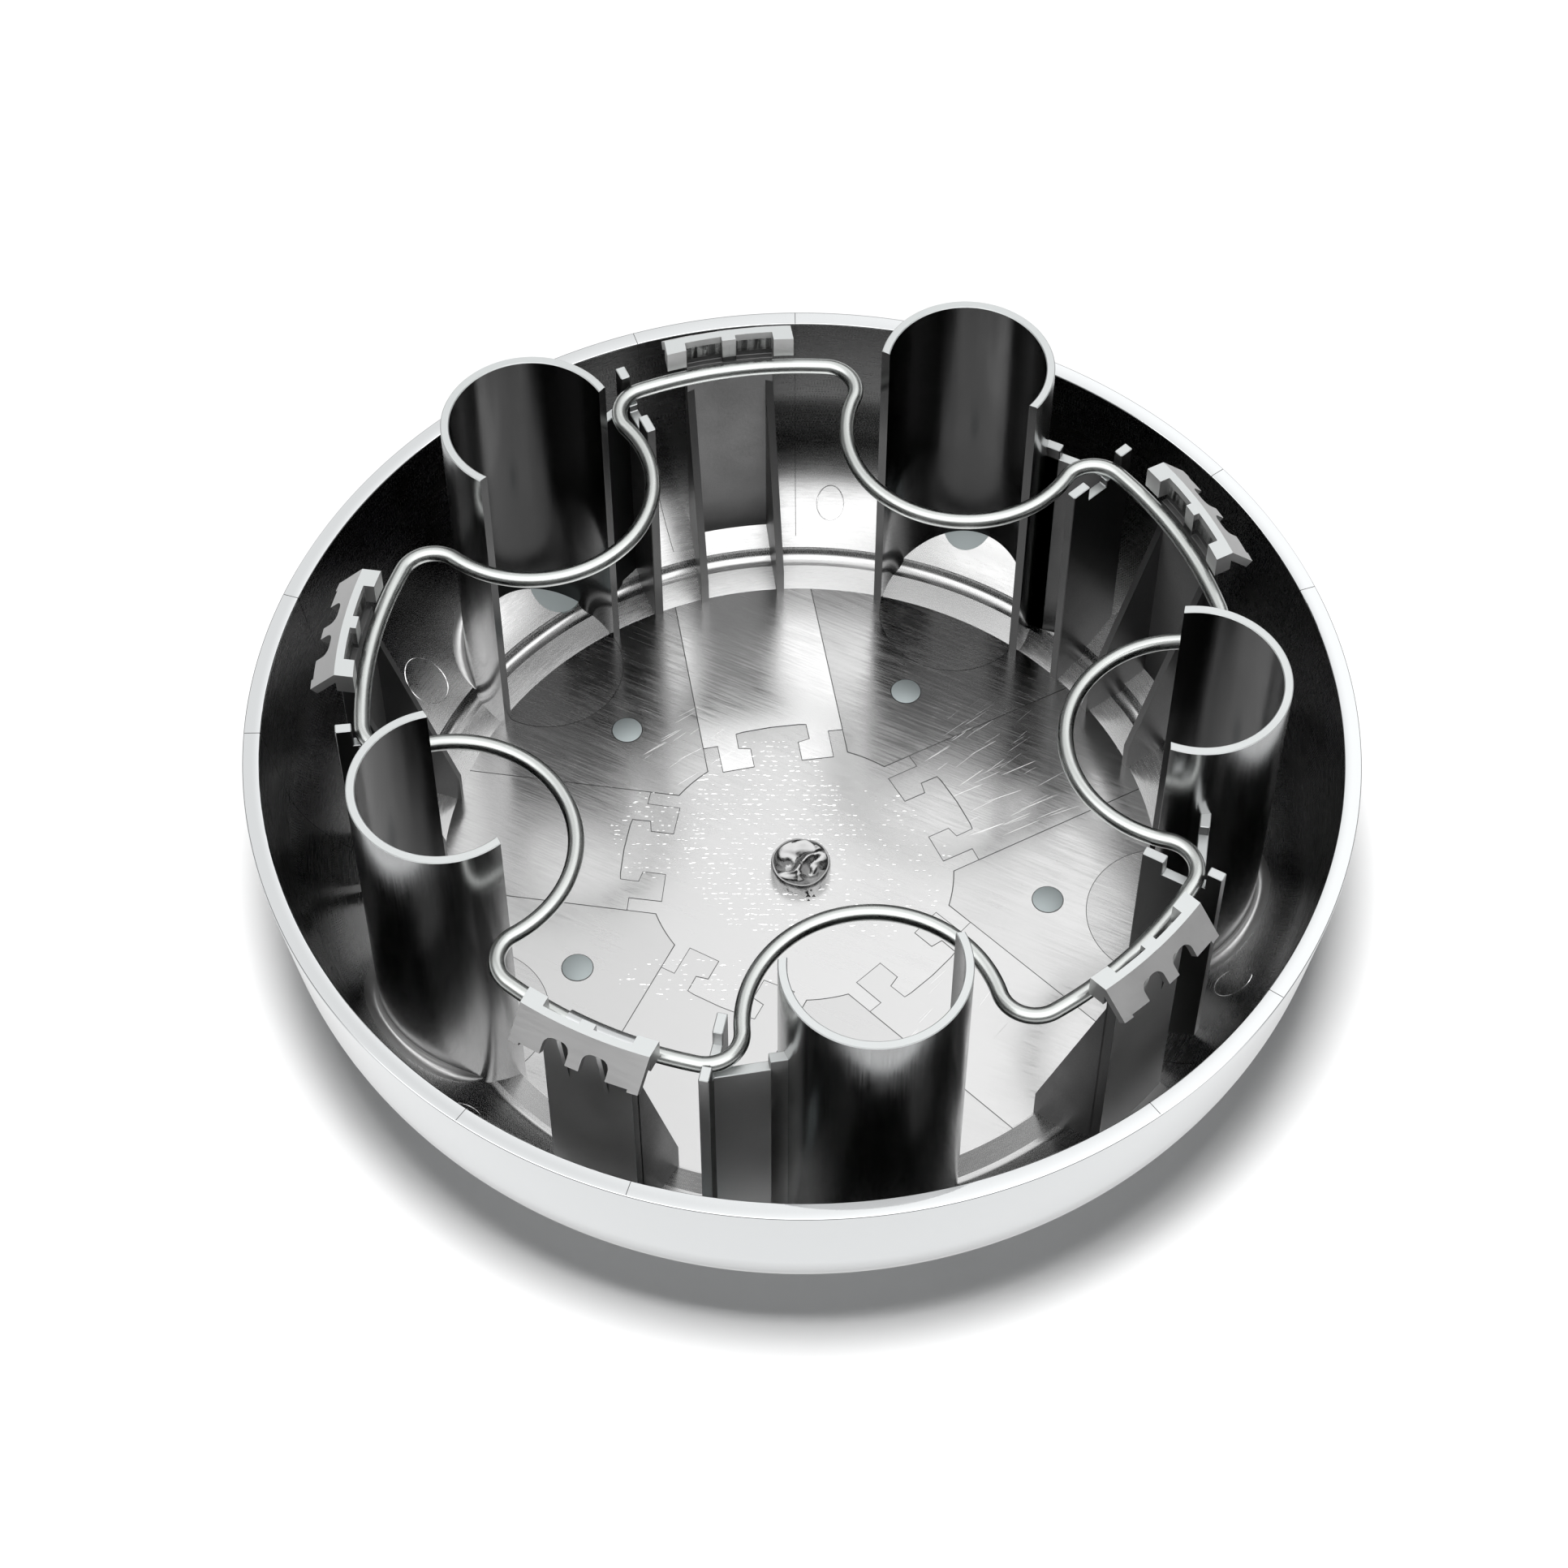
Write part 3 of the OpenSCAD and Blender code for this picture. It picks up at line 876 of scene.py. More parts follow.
@dataclass
class LugTubes(Part):
    """Five thin tubes for the lug nuts, each open towards the cap's centre."""

    steps: int = 96
    edge: float = 0.14

    def build(self, outside: Material, inside: Material, edge: Material) -> Object:
        """Builds one tube at angle 0 and repeats it.

        Args:
            outside: Finish of the outside wall.
            inside: Finish of the bore.
            edge: Finish of the top edge.

        Returns:
            The five tubes.
        """
        s = self.sizes
        inner = s.tube_r - s.tube_wall
        wide = [math.acos(-s.tube_open / s.tube_r), math.acos(-s.tube_open / inner)]
        axis = (s.lug_circle_r, 0.0)
        loops = []
        for k in range(self.steps + 1):
            t = 2 * k / self.steps - 1
            loop = []
            for r, half, inset in ((s.tube_r, wide[0], s.tube_r - self.edge), (inner, wide[1], inner + self.edge)):
                x, y = polar(r, math.degrees(half * t), axis)
                levels = [s.sole(math.hypot(x, y)), s.tube_top * 0.35, s.tube_top * 0.7, s.tube_top - self.edge]
                column = [(x, y, z) for z in levels] + [(*polar(inset, math.degrees(half * t), axis), s.tube_top)]
                loop += column if r == s.tube_r else column[::-1]
            loops.append(loop)
        tubes = self.around(make_object("lug_tubes", *lofted(loops), 30.0), s.first_lug, outside, 30.0)
        middle = s.tube_r - s.tube_wall / 2
        # Painted shade: the bores take the dark finish.
        self.patch(tubes, inside, lambda at, way: abs(way.z) < 0.3 and self.lug_distance(at) < middle)
        self.patch(tubes, edge, lambda at, way: at.z > s.tube_top - self.edge * 1.01)
        return tubes


@dataclass
class TubeFeet(Part):
    """The fillet that runs each tube's outside wall out into the shoulder."""

    fillet: float = 2.4
    reach: float = 74.0
    steps: int = 64

    def build(self, finish: Material) -> Object:
        """Builds the fillet of one tube at angle 0 and repeats it.

        Args:
            finish: The fillets' finish.

        Returns:
            The five fillets.
        """
        s = self.sizes
        axis = (s.lug_circle_r, 0.0)
        loops = []
        for k in range(self.steps + 1):
            t = 2 * k / self.steps - 1
            size = self.fillet * (0.02 + 0.98 * (1 - t**6))
            loop = []
            for cos_b, sin_b in arc_points(1.0, 0, 90, 8):
                x, y = polar(s.tube_r + size * (1 - sin_b), self.reach * t, axis)
                loop.append((x, y, s.inner_z(math.hypot(x, y)) + size * (1 - cos_b) - 0.02))
            x, y = polar(s.tube_r - 0.4, self.reach * t, axis)
            loop += [(x, y, loop[-1][2]), (x, y, s.sole(math.hypot(x, y)))]
            loops.append(loop)
        return self.around(make_object("tube_feet", *lofted(loops), 40.0), s.first_lug, finish, 40.0)


@dataclass
class WireGuides(Part):
    """The slotted plate beside each tube that the ring's bend lies in, with the web that ties it to the tube."""

    guide_angle: float = 21.3
    guide_t: float = 1.5
    guide_in: float = 56.0
    guide_out: float = 68.4
    slot_in: float = 59.4
    seat_in: float = 63.2
    slot_post_w: float = 2.4
    slot_d: float = 1.4
    horn_in_h: float = 0.3
    horn_out_h: float = 2.3
    web_r: float = 60.4
    web_drop: float = 1.7
    web_step_h: float = 2.0
    web_step_l: float = 3.0

    def build(self, sparked: Material, painted_light_faces: Material, edge: Material) -> Object:
        """Builds one guide with its web and repeats it.

        Args:
            sparked: Finish of the sides, painted dark as painted shade.
            painted_light_faces: Finish of what looks outward.
            edge: Finish of the top edges.

        Returns:
            The five guides.
        """
        s = self.sizes
        seat = s.ring_z - s.wire_r - s.ring_gap
        top_in, top_out = s.ring_z + self.horn_in_h, s.ring_z + self.horn_out_h
        post, slot = self.guide_out - self.slot_post_w, seat - self.slot_d
        sole = [(r, s.sole(r)) for r in np.linspace(self.guide_out, self.guide_in, 8)]
        outline = [(self.guide_in, top_in), (self.slot_in, top_in), (self.slot_in, slot), (self.seat_in, slot),
                   (self.seat_in, seat), (post, seat), (post, top_out), (self.guide_out, top_out)] + sole
        plate = bevelled(self.wall("guide_plate", outline, self.guide_t, turn=-self.guide_angle), 0.12)
        span = self.web_r * math.tan(math.radians(self.guide_angle))
        tube = math.sqrt((s.tube_r - s.tube_wall / 2) ** 2 - (self.web_r - s.lug_circle_r) ** 2)
        low, web_top = s.sole(self.web_r), s.ring_z - self.web_drop
        x0, x1 = self.web_r - self.guide_t / 2, self.web_r + self.guide_t / 2
        walls = []
        step_top = web_top + self.web_step_h
        for name, y0, top in (("web", -span, web_top), ("web_step", -tube - self.web_step_l, step_top)):
            loops = [[(x0, y, low), (x1, y, low), (x1, y, top), (x0, y, top)] for y in (y0, -tube)]
            walls.append(bevelled(make_object(name, *lofted(loops)), 0.12))
        # Painted shade and light: the sides take a dark finish, the faces that look outward a pale one.
        guides = self.around(joined("wire_guides", [plate, *walls]), s.first_lug, sparked)
        # Painted light: faces that look outward take the pale finish.
        self.patch(guides, painted_light_faces, self.facing_out)
        self.patch(guides, edge, lambda at, way: way.z > 0.6 and at.z > s.ring_z - 4)
        return guides


@dataclass
class SnapClips(Part):
    """Five barbed clips: a post on two gussets, with a head that hooks behind the wheel's bore."""

    post_w: float = 13.8
    post_t: float = 2.0
    head_w: float = 20.0
    head_rise: float = 5.3
    head_flat: float = 2.1
    barb_reach: float = 3.6
    barb_drop: float = 3.9
    barb_t: float = 1.3
    tab_w: float = 3.1
    tab_lap: float = 0.7
    pocket_rib_w: float = 2.2
    pocket_d: float = 0.9
    notch_w: float = 4.0
    notch_d: float = 3.0
    finger_w: float = 2.1
    notch_r: float = 1.4
    toe_w: float = 1.6
    toe_l: float = 0.45
    fin_t: float = 0.8
    fin_h: float = 12.0
    gusset_t: float = 1.2
    gusset_r: float = 55.4
    gusset_end_h: float = 5.0
    gusset_drop: float = 4.0

    def bar(self, name: str, section: Sequence[Point2], y0: float, y1: float, steps: int = 1) -> Object:
        """A bar whose section follows the cap's curve between two flat sides.

        Args:
            name: The object's name.
            section: Radius and height of each corner.
            y0: Where the bar starts beside the clip's middle.
            y1: Where it ends.
            steps: How many straight steps the curve has.

        Returns:
            The bar.
        """
        places = [y0 + (y1 - y0) * k / steps for k in range(steps + 1)]
        return make_object(name, *lofted([[(math.sqrt(r * r - y * y), y, z) for r, z in section] for y in places]))

    def notch(self, side: int, tip: Point2, slope: Point2) -> Object:
        """The tool that cuts one notch up from the barb's tip, with rounded inner corners.

        Args:
            side: 1 or -1, for either side of the middle finger.
            tip: Radius and height of the barb's tip.
            slope: The way down the barb, of length 1.

        Returns:
            The tool.
        """
        depth, half, r = self.notch_d, self.notch_w / 2, self.notch_r
        corners = [polar(r, a, (depth - r, r - half)) for a in range(-75, 1, 15)]
        corners += [polar(r, a, (depth - r, half - r)) for a in range(0, 91, 15)]
        edge = [(-2.0, -half), (depth - r, -half), *corners, (-2.0, half)]
        mid = side * (self.finger_w + self.notch_w) / 2
        normal = (slope[1], -slope[0])
        loops = [
            [(tip[0] - u * slope[0] + w * normal[0], mid + v, tip[1] - u * slope[1] + w * normal[1]) for u, v in edge]
            for w in (-1.0, self.barb_t + 1.2)
        ]
        return make_object("notch_tool", *lofted(loops))

    def build(self, sparked: Material, painted_light_faces: Material, milled: Material, edge: Material) -> None:
        """Builds one clip at angle 0 and repeats it half a pitch from the tubes.

        Args:
            sparked: Finish of the post, its gussets and the fins, painted dark grey as painted shade.
            painted_light_faces: Finish of the post's outward side.
            milled: Finish of the head.
            edge: Finish of the flat faces on top.
        """
        s = self.sizes
        post_in, post_out, head_z = s.post_in, s.post_in + self.post_t, s.ring_z + self.head_rise
        lap_z = s.ring_z + s.wire_r + 3 * s.ring_gap
        length = math.hypot(self.barb_reach, self.barb_drop)
        slope = (self.barb_reach / length, -self.barb_drop / length)
        normal = (slope[1], -slope[0])

        def along(start: Point2, down: float, inward: float = 0.0) -> Point2:
            """The point some way down the barb and into it."""
            return tuple(start[k] + down * slope[k] + inward * normal[k] for k in range(2))

        top = (post_in + self.head_flat, head_z)
        tip = along(top, length)
        under = along(tip, 0.0, self.barb_t)
        root = (post_out - under[0]) / slope[0]
        section = [(post_in - self.tab_lap, lap_z), (post_in - self.tab_lap, head_z), top, tip, under,
                   (post_out, under[1] + root * slope[1]), (post_out, lap_z)]
        head = self.bar("clip_head", section, -self.head_w / 2, self.head_w / 2, 24)
        rib, tab = self.pocket_rib_w / 2, self.head_w / 2 - self.tab_w
        low_z, high_z, reach = lap_z - 1, head_z + 1, 40.0
        pocket = [(reach, low_z), (reach, high_z), (post_in + self.pocket_d, high_z), (post_in + self.pocket_d, low_z)]
        flush = [(reach, low_z), (reach, high_z), (post_in, high_z), (post_in, low_z)]
        tools = [self.bar("pocket_tool", pocket, a, b, 6) for a, b in ((rib, tab), (-tab, -rib))]
        tools += [self.bar("rib_tool", flush, -rib - 0.01, rib + 0.01, 2)]
        tools += [self.notch(side, tip, slope) for side in (-1, 1)]
        heads = [bevelled(cut(head, tools), 0.1, 50.0)]
        low, post_z = s.sole(post_in + self.post_t / 2), head_z - self.barb_t
        post = [(post_in, low), (post_in, post_z), (post_out, post_z), (post_out, low)]
        post_bar = self.bar("clip_post", post, -self.post_w / 2, self.post_w / 2, 20)
        tools = [self.bar("pocket_tool", pocket, a, b, 6) for a, b in ((rib, tab), (-tab, -rib))]
        pieces = [bevelled(cut(post_bar, tools), 0.08, 50.0)]
        back, gusset_z = post_out - 0.01, s.ring_z - self.gusset_drop
        toe = [tip, along(tip, self.toe_l), along(under, self.toe_l), under]
        fin_top = along(top, length - self.notch_d, 0.3)
        fin = [(back, fin_top[1] - self.fin_h), fin_top, (back, fin_top[1] + self.barb_t)]
        sole = [(r, s.sole(r)) for r in np.linspace(post_in + 0.01, self.gusset_r, 7)]
        gusset = [*sole, (self.gusset_r, s.face_t + self.gusset_end_h), (post_in, gusset_z), (post_in + 0.01, gusset_z)]
        for side in (-1, 1):
            end = side * self.head_w / 2
            start = end - side * self.toe_w
            heads.append(self.bar("clip_toe", toe, min(start, end), max(start, end), 2))
            mid = side * (self.finger_w + self.notch_w) / 2
            pieces.append(bevelled(self.wall("clip_fin", fin, self.fin_t, mid), 0.06))
            mid = side * (self.post_w - self.gusset_t) / 2
            pieces.append(bevelled(self.wall("clip_gusset", gusset, self.gusset_t, mid), 0.12))
        # Painted shade and light: posts, gussets and fins take a dark grey finish, their outward faces a pale one.
        posts = self.around(joined("clip_posts", pieces), s.first_lug + s.pitch / 2, sparked)
        # Painted light: faces that look outward take the pale finish.
        self.patch(posts, painted_light_faces, self.facing_out)
        done = self.around(joined("clip_heads", heads), s.first_lug + s.pitch / 2, milled)
        self.patch(done, edge, lambda at, way: way.z > 0.97)


@dataclass
class SprueStump(Part):
    """The sprue's broken stump in the middle of the floor: a smooth cup, torn open inside into folds and pits."""

    r: float = 4.7
    h: float = 2.4
    lip: float = 0.5
    count: int = 120
    crumbs: tuple[Point3, ...] = ((3.2, -3.9, 0.5), (4.0, -3.5, 0.35), (3.6, -4.6, 0.3))  # place and size of each

    def hollow(self, x: float, y: float) -> float:
        """Height inside the cup: two pits, a ridge between them and a few torn folds.

        Args:
            x: Place across, as a share of the cup's radius.
            y: Place along, likewise.

        Returns:
            The height as a share of the wall's.
        """
        ridge = math.exp(-(((x * 0.86 - y * 0.5 + 0.06 * math.sin(5 * y)) / 0.13) ** 2))
        pits = 0.75 * math.exp(-((x + 0.38) ** 2 + (y + 0.2) ** 2) / 0.09)
        pits += 0.6 * math.exp(-((x - 0.4) ** 2 + (y + 0.12) ** 2) / 0.07)
        folds = 0.13 * abs(math.sin(4.2 * x + 2.6 * y + 0.7)) + 0.07 * abs(math.sin(7.1 * y - 3.3 * x + 1.9))
        return 0.5 + 0.4 * ridge - pits + folds

    def build(self, finish: Material) -> Object:
        """Builds the cup from its wall in to the middle, with the crumbs beside it.

        Args:
            finish: The stump's finish.

        Returns:
            The stump.
        """
        floor = self.sizes.face_t
        inner = 1 - self.lip / self.r
        loops = []
        for share, up in ((1.0, 0.0), (1.0, 0.55), (0.99, 0.88), (0.96, 1.0), (inner + 0.02, 1.0)):
            loop = []
            for k, (x, y) in enumerate(ring_points(self.r * share, self.count)):
                a = 2 * math.pi * k / self.count
                tear = 0.07 * math.sin(2 * a + 0.6) + 0.04 * math.sin(5 * a + 2.0)
                loop.append((x, y, floor + self.h * up * (1 + tear) - (up == 0) * 0.4))
            loops.append(loop)
        for share in (inner * k / 14 for k in range(14, 0, -1)):
            near = (share / inner) ** 6
            loops.append([
                (self.r * x, self.r * y, floor + self.h * max(0.03, (1 - near) * self.hollow(x, y) + near * 0.86))
                for x, y in ring_points(share, self.count)
            ])
        points, faces = lofted(loops)
        for cx, cy, size in self.crumbs:
            first = len(points)
            for dx, dy, dz in ((1, 0, 0), (-0.5, 0.9, 0), (-0.6, -0.8, 0), (0.1, 0.1, 1.3)):
                points.append((cx + size * dx, cy + size * dy, floor - 0.02 + size * dz))
            faces += [tuple(first + k for k in corner) for corner in ((0, 1, 3), (1, 2, 3), (2, 0, 3), (0, 2, 1))]
        return self.carry(make_object("sprue_stump", points, faces, 34.0), finish)


@dataclass
class RetainingRing(Part):
    """The spring wire: arcs behind the clips and a loop round the inner side of each tube."""

    slot: str = "spring_wire"
    butt_gap: float = 0.6
    sleeve_l: float = 11.8
    sleeve_shift: float = 1.4
    sides: int = 32

    @property
    def sleeve_mid(self) -> float:
        """Angle of the sleeve's middle in degrees."""
        s = self.sizes
        return s.first_lug + s.pitch * 2.5 + math.degrees(self.sleeve_shift / s.ring_arc_r)

    def route(self) -> list[Point3]:
        """The wire's centre line from one end inside the sleeve round to the other."""
        s = self.sizes
        bend_c = s.ring_arc_r - s.bend_r
        meet = s.bend_r + s.loop_r
        bend = math.degrees(math.acos((s.lug_circle_r**2 + bend_c**2 - meet**2) / (2 * s.lug_circle_r * bend_c)))
        x, y = polar(bend_c, bend)
        loop = math.degrees(math.atan2(y, x - s.lug_circle_r))
        sweep = bend + 180 - loop
        gap = math.degrees(self.butt_gap / s.ring_arc_r / 2)
        flat = [polar(s.ring_arc_r, self.sleeve_mid + gap)]

        def arc(centre: Point2, r: float, start: float, end: float, step_mm: float) -> None:
            """Adds an arc's points at the middle of each of its steps."""
            n = max(4, round(abs(math.radians(end - start)) * r / step_mm))
            flat.extend(polar(r, start + (end - start) * (k + 0.5) / n, centre) for k in range(n))

        for k in range(s.lugs):
            a = s.first_lug + s.pitch * (3 + k)
            start = self.sleeve_mid + gap if k == 0 else a - s.pitch / 2
            end = self.sleeve_mid + 360 - gap if k == s.lugs - 1 else a + s.pitch / 2
            arc((0, 0), s.ring_arc_r, start, a - bend, 0.8)
            arc(polar(bend_c, a - bend), s.bend_r, a - bend, a - bend + sweep, 0.3)
            arc(polar(s.lug_circle_r, a), s.loop_r, a + 360 - loop, a + loop, 0.5)
            arc(polar(bend_c, a + bend), s.bend_r, a + bend - sweep, a + bend, 0.3)
            arc((0, 0), s.ring_arc_r, a + bend, end, 0.8)
        flat.append(polar(s.ring_arc_r, self.sleeve_mid - gap))
        return [(x, y, s.ring_z) for x, y in flat]

    def sleeve(self) -> Object:
        """The rolled sleeve: a bent tube, open at both ends."""
        s = self.sizes
        bore, n = s.wire_r + s.ring_gap, self.sides
        half = math.degrees(self.sleeve_l / s.ring_arc_r / 2)
        stations = arc_points(1.0, self.sleeve_mid - half, self.sleeve_mid + half, 24)
        section = ring_points(bore + s.sleeve_wall, n) + ring_points(bore, n)
        points = [
            ((s.ring_arc_r + u) * c, (s.ring_arc_r + u) * sn, s.ring_z + v) for c, sn in stations for u, v in section
        ]
        faces: list[Face] = []
        for m in range(n):
            q = (m + 1) % n
            for j in range(0, len(points) - 2 * n, 2 * n):
                faces += [(j + b + m, j + b + q, j + b + q + 2 * n, j + b + m + 2 * n) for b in (0, n)]
            faces += [(j + m, j + q, j + n + q, j + n + m) for j in (0, len(points) - 2 * n)]
        return make_object("wire_sleeve", points, faces, 40.0)

    def build(self, steel: Material, sleeve_steel: Material) -> None:
        """Builds the wire and its sleeve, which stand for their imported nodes.

        Args:
            steel: Finish of the wire.
            sleeve_steel: Finish of the sleeve.
        """
        wire = self.trees.run(
            path_object("spring_wire", [self.route()]), self.trees.sweep, 50.0,
            Wire_Radius=self.sizes.wire_r * MM, Sides=self.sides, Finish=steel,
        )
        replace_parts(self.carry(wire), "retaining_ring")
        keeper = Part(self.trees, "sleeve_steel")
        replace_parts(keeper.carry(self.sleeve(), sleeve_steel), "ring_sleeve")


@dataclass(frozen=True)
class Flecks:
    """One patch of small bright marks that lie in rows along the direction of polishing."""

    name: str
    centre: Point2
    half: Point2  # half length and half width of the patch
    lay: float  # degrees from +X
    density: float  # marks for each square metre
    length: float
    width: float
    row: float  # from one row to the next
    tilt: float  # degrees that a mark leans at most


@dataclass
class FloorMarks(Part):
    """What the mould's steel leaves on the floor: insert outlines, core circles, ejector discs and polish marks."""

    insert_half: float = 11.4
    plug_r: float = 24.1
    pin_r: float = 39.05
    pin_size: float = 2.38
    line_r: float = 0.09
    slide_angle: float = 9.2
    # radius, angle and size of what the pins in the wall left
    pin_ends: tuple[Point3, ...] = ((66.6, 153.4, 4.3), (70.5, 92.7, 4.3), (70.5, 284.5, 3.6))
    pin_rings: tuple[Point3, ...] = ((68.2, 178.1, 3.3), (70.3, 4.5, 2.6), (70.0, 250.5, 2.6), (69.0, 112.0, 2.2))
    flecks: tuple[Flecks, ...] = (
        Flecks("polish_flecks_1", (-8.0, 4.0), (13.0, 19.0), 25.65, 900000.0, 0.62, 0.1, 0.95, 30.0),
        Flecks("polish_flecks_2", (9.0, 6.0), (13.0, 15.0), 25.65, 260000.0, 0.6, 0.1, 0.95, 30.0),
        Flecks("polish_flecks_3", (-24.0, -4.0), (7.0, 9.0), 25.65, 500000.0, 0.55, 0.09, 0.9, 30.0),
        Flecks("polish_flecks_4", (-6.0, -25.0), (12.0, 4.0), 25.65, 500000.0, 0.55, 0.09, 0.9, 30.0),
        Flecks("burnish_fan_1", (15.0, 36.0), (11.0, 7.0), 66.0, 110000.0, 4.5, 0.035, 0.01, 22.0),
        Flecks("burnish_fan_2", (25.0, 27.0), (10.0, 8.0), 54.0, 90000.0, 5.5, 0.035, 0.01, 22.0),
        Flecks("burnish_fan_3", (-27.0, 14.0), (7.0, 8.0), 64.0, 70000.0, 4.0, 0.035, 0.01, 22.0),
        Flecks("burnish_fan_4", (33.0, -15.0), (9.0, 10.0), 78.0, 40000.0, 3.5, 0.035, 0.01, 22.0),
    )
    # the insert's keyed inner end, from near its side in to the middle
    key: tuple[Point2, ...] = ((25.9, 9.05), (20.7, 9.0), (20.9, 3.9), (24.5, 3.9), (24.9, 5.8), (27.8, 5.75),
                               (28.0, 4.6), (28.2, 0.0))
    key_r: float = 25.8

    def insert_lines(self) -> list[list[Point3]]:
        """The outline of the insert behind a clip at angle 0, keyed at its inner end."""
        w = self.insert_half
        routes = []
        for m in (-1, 1):
            routes.append([(55.2, m * w), (self.key_r, m * w)])
            routes.append([(21.2, m * w), (self.key_r, m * w)] + [(u, m * v) for u, v in self.key[:-1]])
        u, v = self.key[-2]
        routes.append([(u, v), self.key[-1], (u, -v)])
        start = math.degrees(math.asin(w / self.plug_r))
        routes.append(arc_points(self.plug_r, start, self.sizes.pitch - start, 8))
        return [[(x, y, self.sizes.face_t) for x, y in route] for route in routes]

    def slide_lines(self) -> list[list[Point3]]:
        """Where the slide behind a clip at angle 0 meets the wall: up the wall and across the rim, on both sides."""
        s = self.sizes
        wall = np.linspace(s.floor_r + s.bevel_w + 4.0, s.inner_c[0] + s.inner_roll_r * 0.99, 24)
        inner = s.rim_r - s.rim_land
        profile = [(r, s.inner_z(r)) for r in wall]
        profile += [(inner - 0.02, s.rim_h - 0.1), (inner + 0.1, s.rim_h), (s.rim_r - 0.2, s.rim_h)]
        return [[(*polar(r, self.slide_angle * side), z) for r, z in profile] for side in (-1, 1)]

    def skin(self, name: str, at: Point2, r: float, lift: float = 0.05) -> Object:
        """A thin round patch that follows the shoulder, as an ejector pin's end does.

        Args:
            name: The object's name.
            at: The patch's centre in the plane.
            r: Its radius.
            lift: How far it stands proud.

        Returns:
            The patch, with a short skirt that closes it below.
        """
        loops = []
        for share, up in [(1.0, -0.4), (1.0, lift)] + [(k / 5, lift) for k in range(4, 0, -1)]:
            ring = ring_points(r * share, 40, at)
            loops.append([(x, y, self.sizes.inner_z(math.hypot(x, y)) + up) for x, y in ring])
        return make_object(name, *lofted(loops), 40.0)

    def plate(self, name: str, outline: Sequence[Point2], top: float) -> Object:
        """A thin flat plate on the floor, from its outline."""
        z = self.sizes.face_t
        return make_object(name, *lofted([[(x, y, h) for x, y in outline] for h in (z - 0.2, z + top)]))

    def wires(
        self, name: str, routes: Sequence[Sequence[Point3]], finish: Material, r: float, cyclic: bool = False
    ) -> Object:
        """Thin lines that stand half out of the floor, as the gap between two blocks of steel leaves them.

        Args:
            name: The object's name.
            routes: The lines' points.
            finish: Their finish.
            r: Their radius in millimetres.
            cyclic: Whether each line is closed.

        Returns:
            The lines.
        """
        path = path_object(name, routes, cyclic)
        return self.trees.run(path, self.trees.sweep, 20.0, Wire_Radius=r * MM, Sides=6, Finish=finish)

    def plates(self, insert: Material, bright: Material, core: Material, disc: Material) -> None:
        """Builds what each block of the mould left on the floor, with its own finish.

        Args:
            insert: Finish of the strips behind the clips.
            bright: The same, painted nearly white as painted light, for the strip behind the first clip.
            core: Finish of the fields between them.
            disc: Finish of the round ends of the tubes' cores.
        """
        s = self.sizes
        w, edge = self.insert_half, s.floor_r - 0.15
        side = math.degrees(math.asin(w / edge))
        key = [(self.key_r, w), *self.key]
        block = arc_points(edge, -side, side, 12) + key + [(u, -v) for u, v in key[-2::-1]]
        blocks = self.around(self.plate("insert_plates", block, 0.03), s.first_lug + s.pitch / 2, insert)
        # Painted light: the strip behind the first clip, at this angle, takes the nearly white finish.
        polished = s.first_lug + s.pitch / 2
        self.patch(blocks, bright, lambda at, way: abs(math.degrees(math.atan2(at.y, at.x)) - polished) < 30)
        near, far = s.pitch / 2 - math.degrees(math.asin(w / self.plug_r)), s.pitch / 2 - side
        between = arc_points(self.plug_r, -near, near, 6) + arc_points(edge, far, -far, 24)
        self.around(self.plate("core_plates", between, 0.02), s.first_lug, core)
        round_ = [polar(s.tube_r - s.tube_wall, a, (s.lug_circle_r, 0.0)) for a in range(94, 267, 4)]
        round_ = [p for p in round_ if math.hypot(*p) < edge]
        end = math.degrees(math.atan2(-round_[0][1], round_[0][0]))
        round_ += arc_points(edge, end, -end, 8)[1:-1]
        self.around(self.plate("core_discs", round_, 0.035), s.first_lug, disc)

    def build(self, line: Material, pin: Material, fleck: Material) -> None:
        """Builds the marks as thin real geometry on the floor.

        Args:
            line: Finish of the lines between the mould's blocks.
            pin: Finish of the ejector pins' ends.
            fleck: Finish of the polish marks.
        """
        s = self.sizes
        low = s.face_t + 0.03
        behind_clip = s.first_lug + s.pitch / 2
        self.around(self.wires("insert_lines", self.insert_lines(), line, self.line_r), behind_clip, line, 20.0)
        self.around(self.wires("slide_lines", self.slide_lines(), line, 0.6 * self.line_r), behind_clip, line, 20.0)
        core = s.tube_r - s.tube_wall
        circle = [(*polar(core, a, (s.lug_circle_r, 0.0)), low) for a in range(97, 264, 3)]
        self.around(self.wires("core_circles", [circle], line, 0.6 * self.line_r), s.first_lug, line, 20.0)
        r, at = self.pin_size, (self.pin_r, 0.0)
        steps = ((r, s.face_t - 0.3), (r, s.face_t + 0.09), (r - 0.1, s.face_t + 0.13))
        loops = [[(x, y, z) for x, y in ring_points(q, 48, at)] for q, z in steps]
        self.around(make_object("ejector_discs", *lofted(loops)), s.first_lug, pin)
        for n, (radius, turn, size) in enumerate(self.pin_ends, 1):
            self.carry(self.skin(f"wall_pin_{n}", polar(radius, turn), size), pin)
        rings = [[(x, y, s.inner_z(math.hypot(x, y))) for x, y in ring_points(size, 60, polar(radius, turn))]
                 for radius, turn, size in self.pin_rings]
        self.carry(self.wires("pin_rings", rings, fleck, self.line_r, True))
        groove = [(x, y, low) for x, y in ring_points(r + 0.06, 60, at)]
        self.around(self.wires("disc_grooves", [groove], line, 0.07, True), s.first_lug, line, 20.0)
        for patch in self.flecks:
            self.scatter(patch, fleck)

